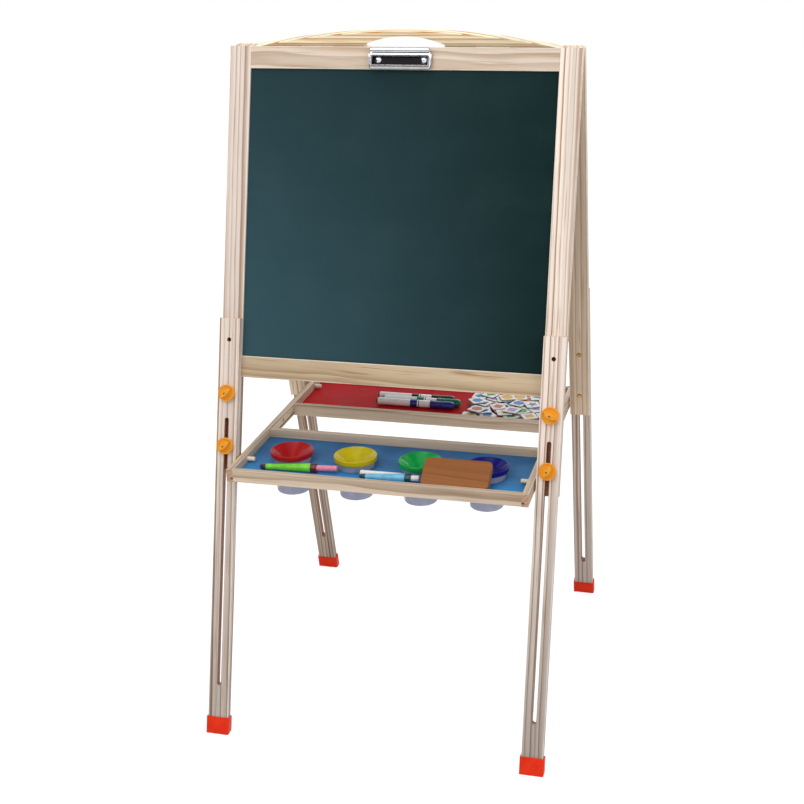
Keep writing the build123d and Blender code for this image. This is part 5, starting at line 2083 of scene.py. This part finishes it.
@dataclass
class Studio:
    """Floor, light and camera; eye is in millimetres, and focal in pixels of a picture that wide."""

    eye: tuple[float, float, float] = (521.116, -1998.564, 1225.725)
    yaw: float = 15.035
    pitch: float = -20.456
    roll: float = -1.360
    focal: float = 1400.89
    picture: float = 804.0
    sky: float = 0.55
    floor_radius: float = 9.0
    floor_drop: float = 0.0005
    floor_bounce: float = 0.8
    floor_clear: float = 0.83
    floor_shade: float = 0.36

    def camera(self) -> None:
        """Add the camera at the fitted place."""
        yaw, pitch, roll = (math.radians(angle) for angle in (self.yaw, self.pitch, self.roll))
        right = Vector((math.cos(yaw), math.sin(yaw), 0.0))
        level = Vector((-math.sin(yaw), math.cos(yaw), 0.0))
        ahead = math.cos(pitch) * level + math.sin(pitch) * Vector((0.0, 0.0, 1.0))
        up = right.cross(ahead)
        across = right * math.cos(roll) + up * math.sin(roll)
        upward = up * math.cos(roll) - right * math.sin(roll)
        data = bpy.data.cameras.new("camera")
        data.sensor_fit = "HORIZONTAL"
        data.sensor_width = 36.0
        data.lens = self.focal * data.sensor_width / self.picture
        data.clip_end = 50.0
        camera = bpy.data.objects.new("camera", data)
        turn = Matrix((across, upward, -ahead)).transposed()
        camera.matrix_world = Matrix.Translation(Vector(self.eye) * MM) @ turn.to_4x4()
        bpy.context.scene.collection.objects.link(camera)
        bpy.context.scene.camera = camera

    def lamp(self, name: str, spot: Point, aim: Point, size: float, power: float) -> None:
        """Add a soft square lamp.

        Args:
            name: Its name.
            spot: Where it hangs, in metres.
            aim: What it points at, in metres.
            size: Its side, in metres.
            power: Its power, in watts.
        """
        data = bpy.data.lights.new(name, "AREA")
        data.size = size
        data.energy = power
        lamp = bpy.data.objects.new(name, data)
        lamp.location = spot
        lamp.rotation_euler = (Vector(aim) - Vector(spot)).to_track_quat("-Z", "Y").to_euler()
        bpy.context.scene.collection.objects.link(lamp)

    def card(self, name: str, spot: Point, size: tuple[float, float], level: float = 0.02) -> None:
        """Hang a dark card that only mirrors see, so that bright metal shows its shape.

        Args:
            name: Its name.
            spot: Its middle, in metres.
            size: Its width and height, in metres.
            level: How bright it is.
        """
        bm = bmesh.new()
        bmesh.ops.create_grid(bm, x_segments=1, y_segments=1, size=0.5)
        bmesh.ops.scale(bm, vec=(*size, 1.0), verts=bm.verts[:])
        facing = (Vector((0.0, 0.0, 1.0)) - Vector(spot)).to_track_quat("Z", "Y").to_matrix().to_4x4()
        bm.transform(Matrix.Translation(spot) @ facing)
        mesh = bpy.data.meshes.new(f"{name}_card")
        bm.to_mesh(mesh)
        bm.free()
        card = bpy.data.objects.new(f"{name}_card", mesh)
        card.visible_camera = card.visible_diffuse = card.visible_shadow = card.visible_transmission = False
        bpy.context.scene.collection.objects.link(card)
        dark = bpy.data.materials.new(f"{name}_card_dark")
        sheet = NodeSheet.blank(dark)
        plain = sheet.add("Emission", {"Strength": level})
        sheet.add("OutputMaterial", {"Surface": plain.outputs[0]})
        mesh.materials.append(dark)

    def seen(self, sheet: NodeSheet) -> Socket:
        """Whether a ray shows the background: straight, mirrored or through glass.

        Args:
            sheet: The tree of the floor or the world.

        Returns:
            1 for such a ray, or else 0.
        """
        path = sheet.add("LightPath").outputs
        mirrored = sheet.math("MAXIMUM", path["Is Glossy Ray"], path["Is Transmission Ray"])
        return sheet.math("MAXIMUM", path["Is Camera Ray"], mirrored)

    def sky_light(self) -> None:
        """Set the world: white where it is seen, softer as light."""
        world = bpy.data.worlds.new("studio")
        sheet = NodeSheet.blank(world)
        light = sheet.add("Background", {"Color": (0.97, 0.985, 1.0, 1.0), "Strength": self.sky})
        white = sheet.add("Background", {"Color": (1.0, 1.0, 1.0, 1.0), "Strength": 1.0})
        both = sheet.add("MixShader", {0: self.seen(sheet), 1: light.outputs[0], 2: white.outputs[0]})
        sheet.add("OutputWorld", {"Surface": both.outputs[0]})
        bpy.context.scene.world = world

    def floor(self) -> None:
        """Lay a pale floor that shows white and keeps the shadow."""
        bm = bmesh.new()
        bmesh.ops.create_circle(bm, cap_ends=True, radius=self.floor_radius, segments=64)
        mesh = bpy.data.meshes.new("floor")
        bm.to_mesh(mesh)
        bm.free()
        floor = bpy.data.objects.new("floor", mesh)
        floor.location.z = -self.floor_drop
        bpy.context.scene.collection.objects.link(floor)
        pale = bpy.data.materials.new("floor_pale")
        sheet = NodeSheet.blank(pale)
        bounce = sheet.add("BsdfDiffuse", {"Color": (*[self.floor_bounce] * 3, 1.0)})
        open_white = sheet.add("BsdfTransparent", {"Color": (*[self.floor_clear] * 3, 1.0)})
        shaded = sheet.add("BsdfDiffuse", {"Color": (*[self.floor_shade] * 3, 1.0)})
        shown = sheet.add("AddShader", {0: open_white.outputs[0], 1: shaded.outputs[0]})
        both = sheet.add("MixShader", {0: self.seen(sheet), 1: bounce.outputs[0], 2: shown.outputs[0]})
        sheet.add("OutputMaterial", {"Surface": both.outputs[0]})
        mesh.materials.append(pale)

    def build(self) -> None:
        """Add camera, floor and lights."""
        bpy.context.scene.view_settings.view_transform = "Standard"
        self.camera()
        self.sky_light()
        self.floor()
        aim = (0.0, 0.0, 0.55)
        self.lamp("key", (-0.5, -1.5, 2.1), aim, size=1.4, power=16.5)
        self.lamp("fill", (2.2, -1.6, 1.6), aim, size=1.4, power=14.0)
        self.lamp("top", (0.0, -0.2, 2.4), aim, size=1.4, power=7.0)
        self.lamp("back", (0.6, 2.4, 2.0), aim, size=1.6, power=16.0)
        self.card("ceiling", (0.0, -0.2, 3.4), (5.0, 3.6))
        self.card("lower", (0.0, -1.5, 0.3), (3.2, 0.6))
        self.card("left", (-2.0, -0.8, 1.0), (3.2, 2.4))
        self.card("right", (2.2, -0.4, 1.0), (3.0, 2.4))
        self.card("front", (-0.31, -1.12, 1.43), (0.6, 0.24), level=0.2)


def main() -> None:
    """Build the easel's classes in order."""
    logging.basicConfig(level=logging.INFO, format="%(name)s %(message)s")
    Studio().build()
    front, rear = FrameSpace(Side.FRONT), FrameSpace(Side.REAR)
    for space in (front, rear):
        panel = PanelFrame(space)
        panel.dress()
        panel.build_hinge_screws()
    Plated.ZINC.value.dress("hinge_pins")
    for legs in (
        LegSet(front, {Hand.LEFT: (45.0, 42.0), Hand.RIGHT: (-27.0, 56.0)}),
        LegSet(rear, {Hand.LEFT: (70.0, 15.0), Hand.RIGHT: (-50.0, 30.0)}),
    ):
        legs.dress()
        legs.build()
    PaperClip(front).build()
    tray = Tray()
    tray.dress()
    tray.build()
    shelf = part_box("front_shelf")[1].z / MM
    cups = (
        ("red", -150.0, Moulded.RED_LID), ("yellow", -50.0, Moulded.YELLOW_LID),
        ("green", 50.0, Moulded.GREEN_LID), ("blue", 150.0, Moulded.BLUE_LID),
    )
    for colour, x, lid in cups:
        PaintCup(colour, x, shelf, lid.value).build()
    Eraser(shelf).build()
    ChalkSet(shelf).build()
    MarkerSet(shelf).build()
    TileHeap(shelf).build()


if __name__ == "__main__":
    main()
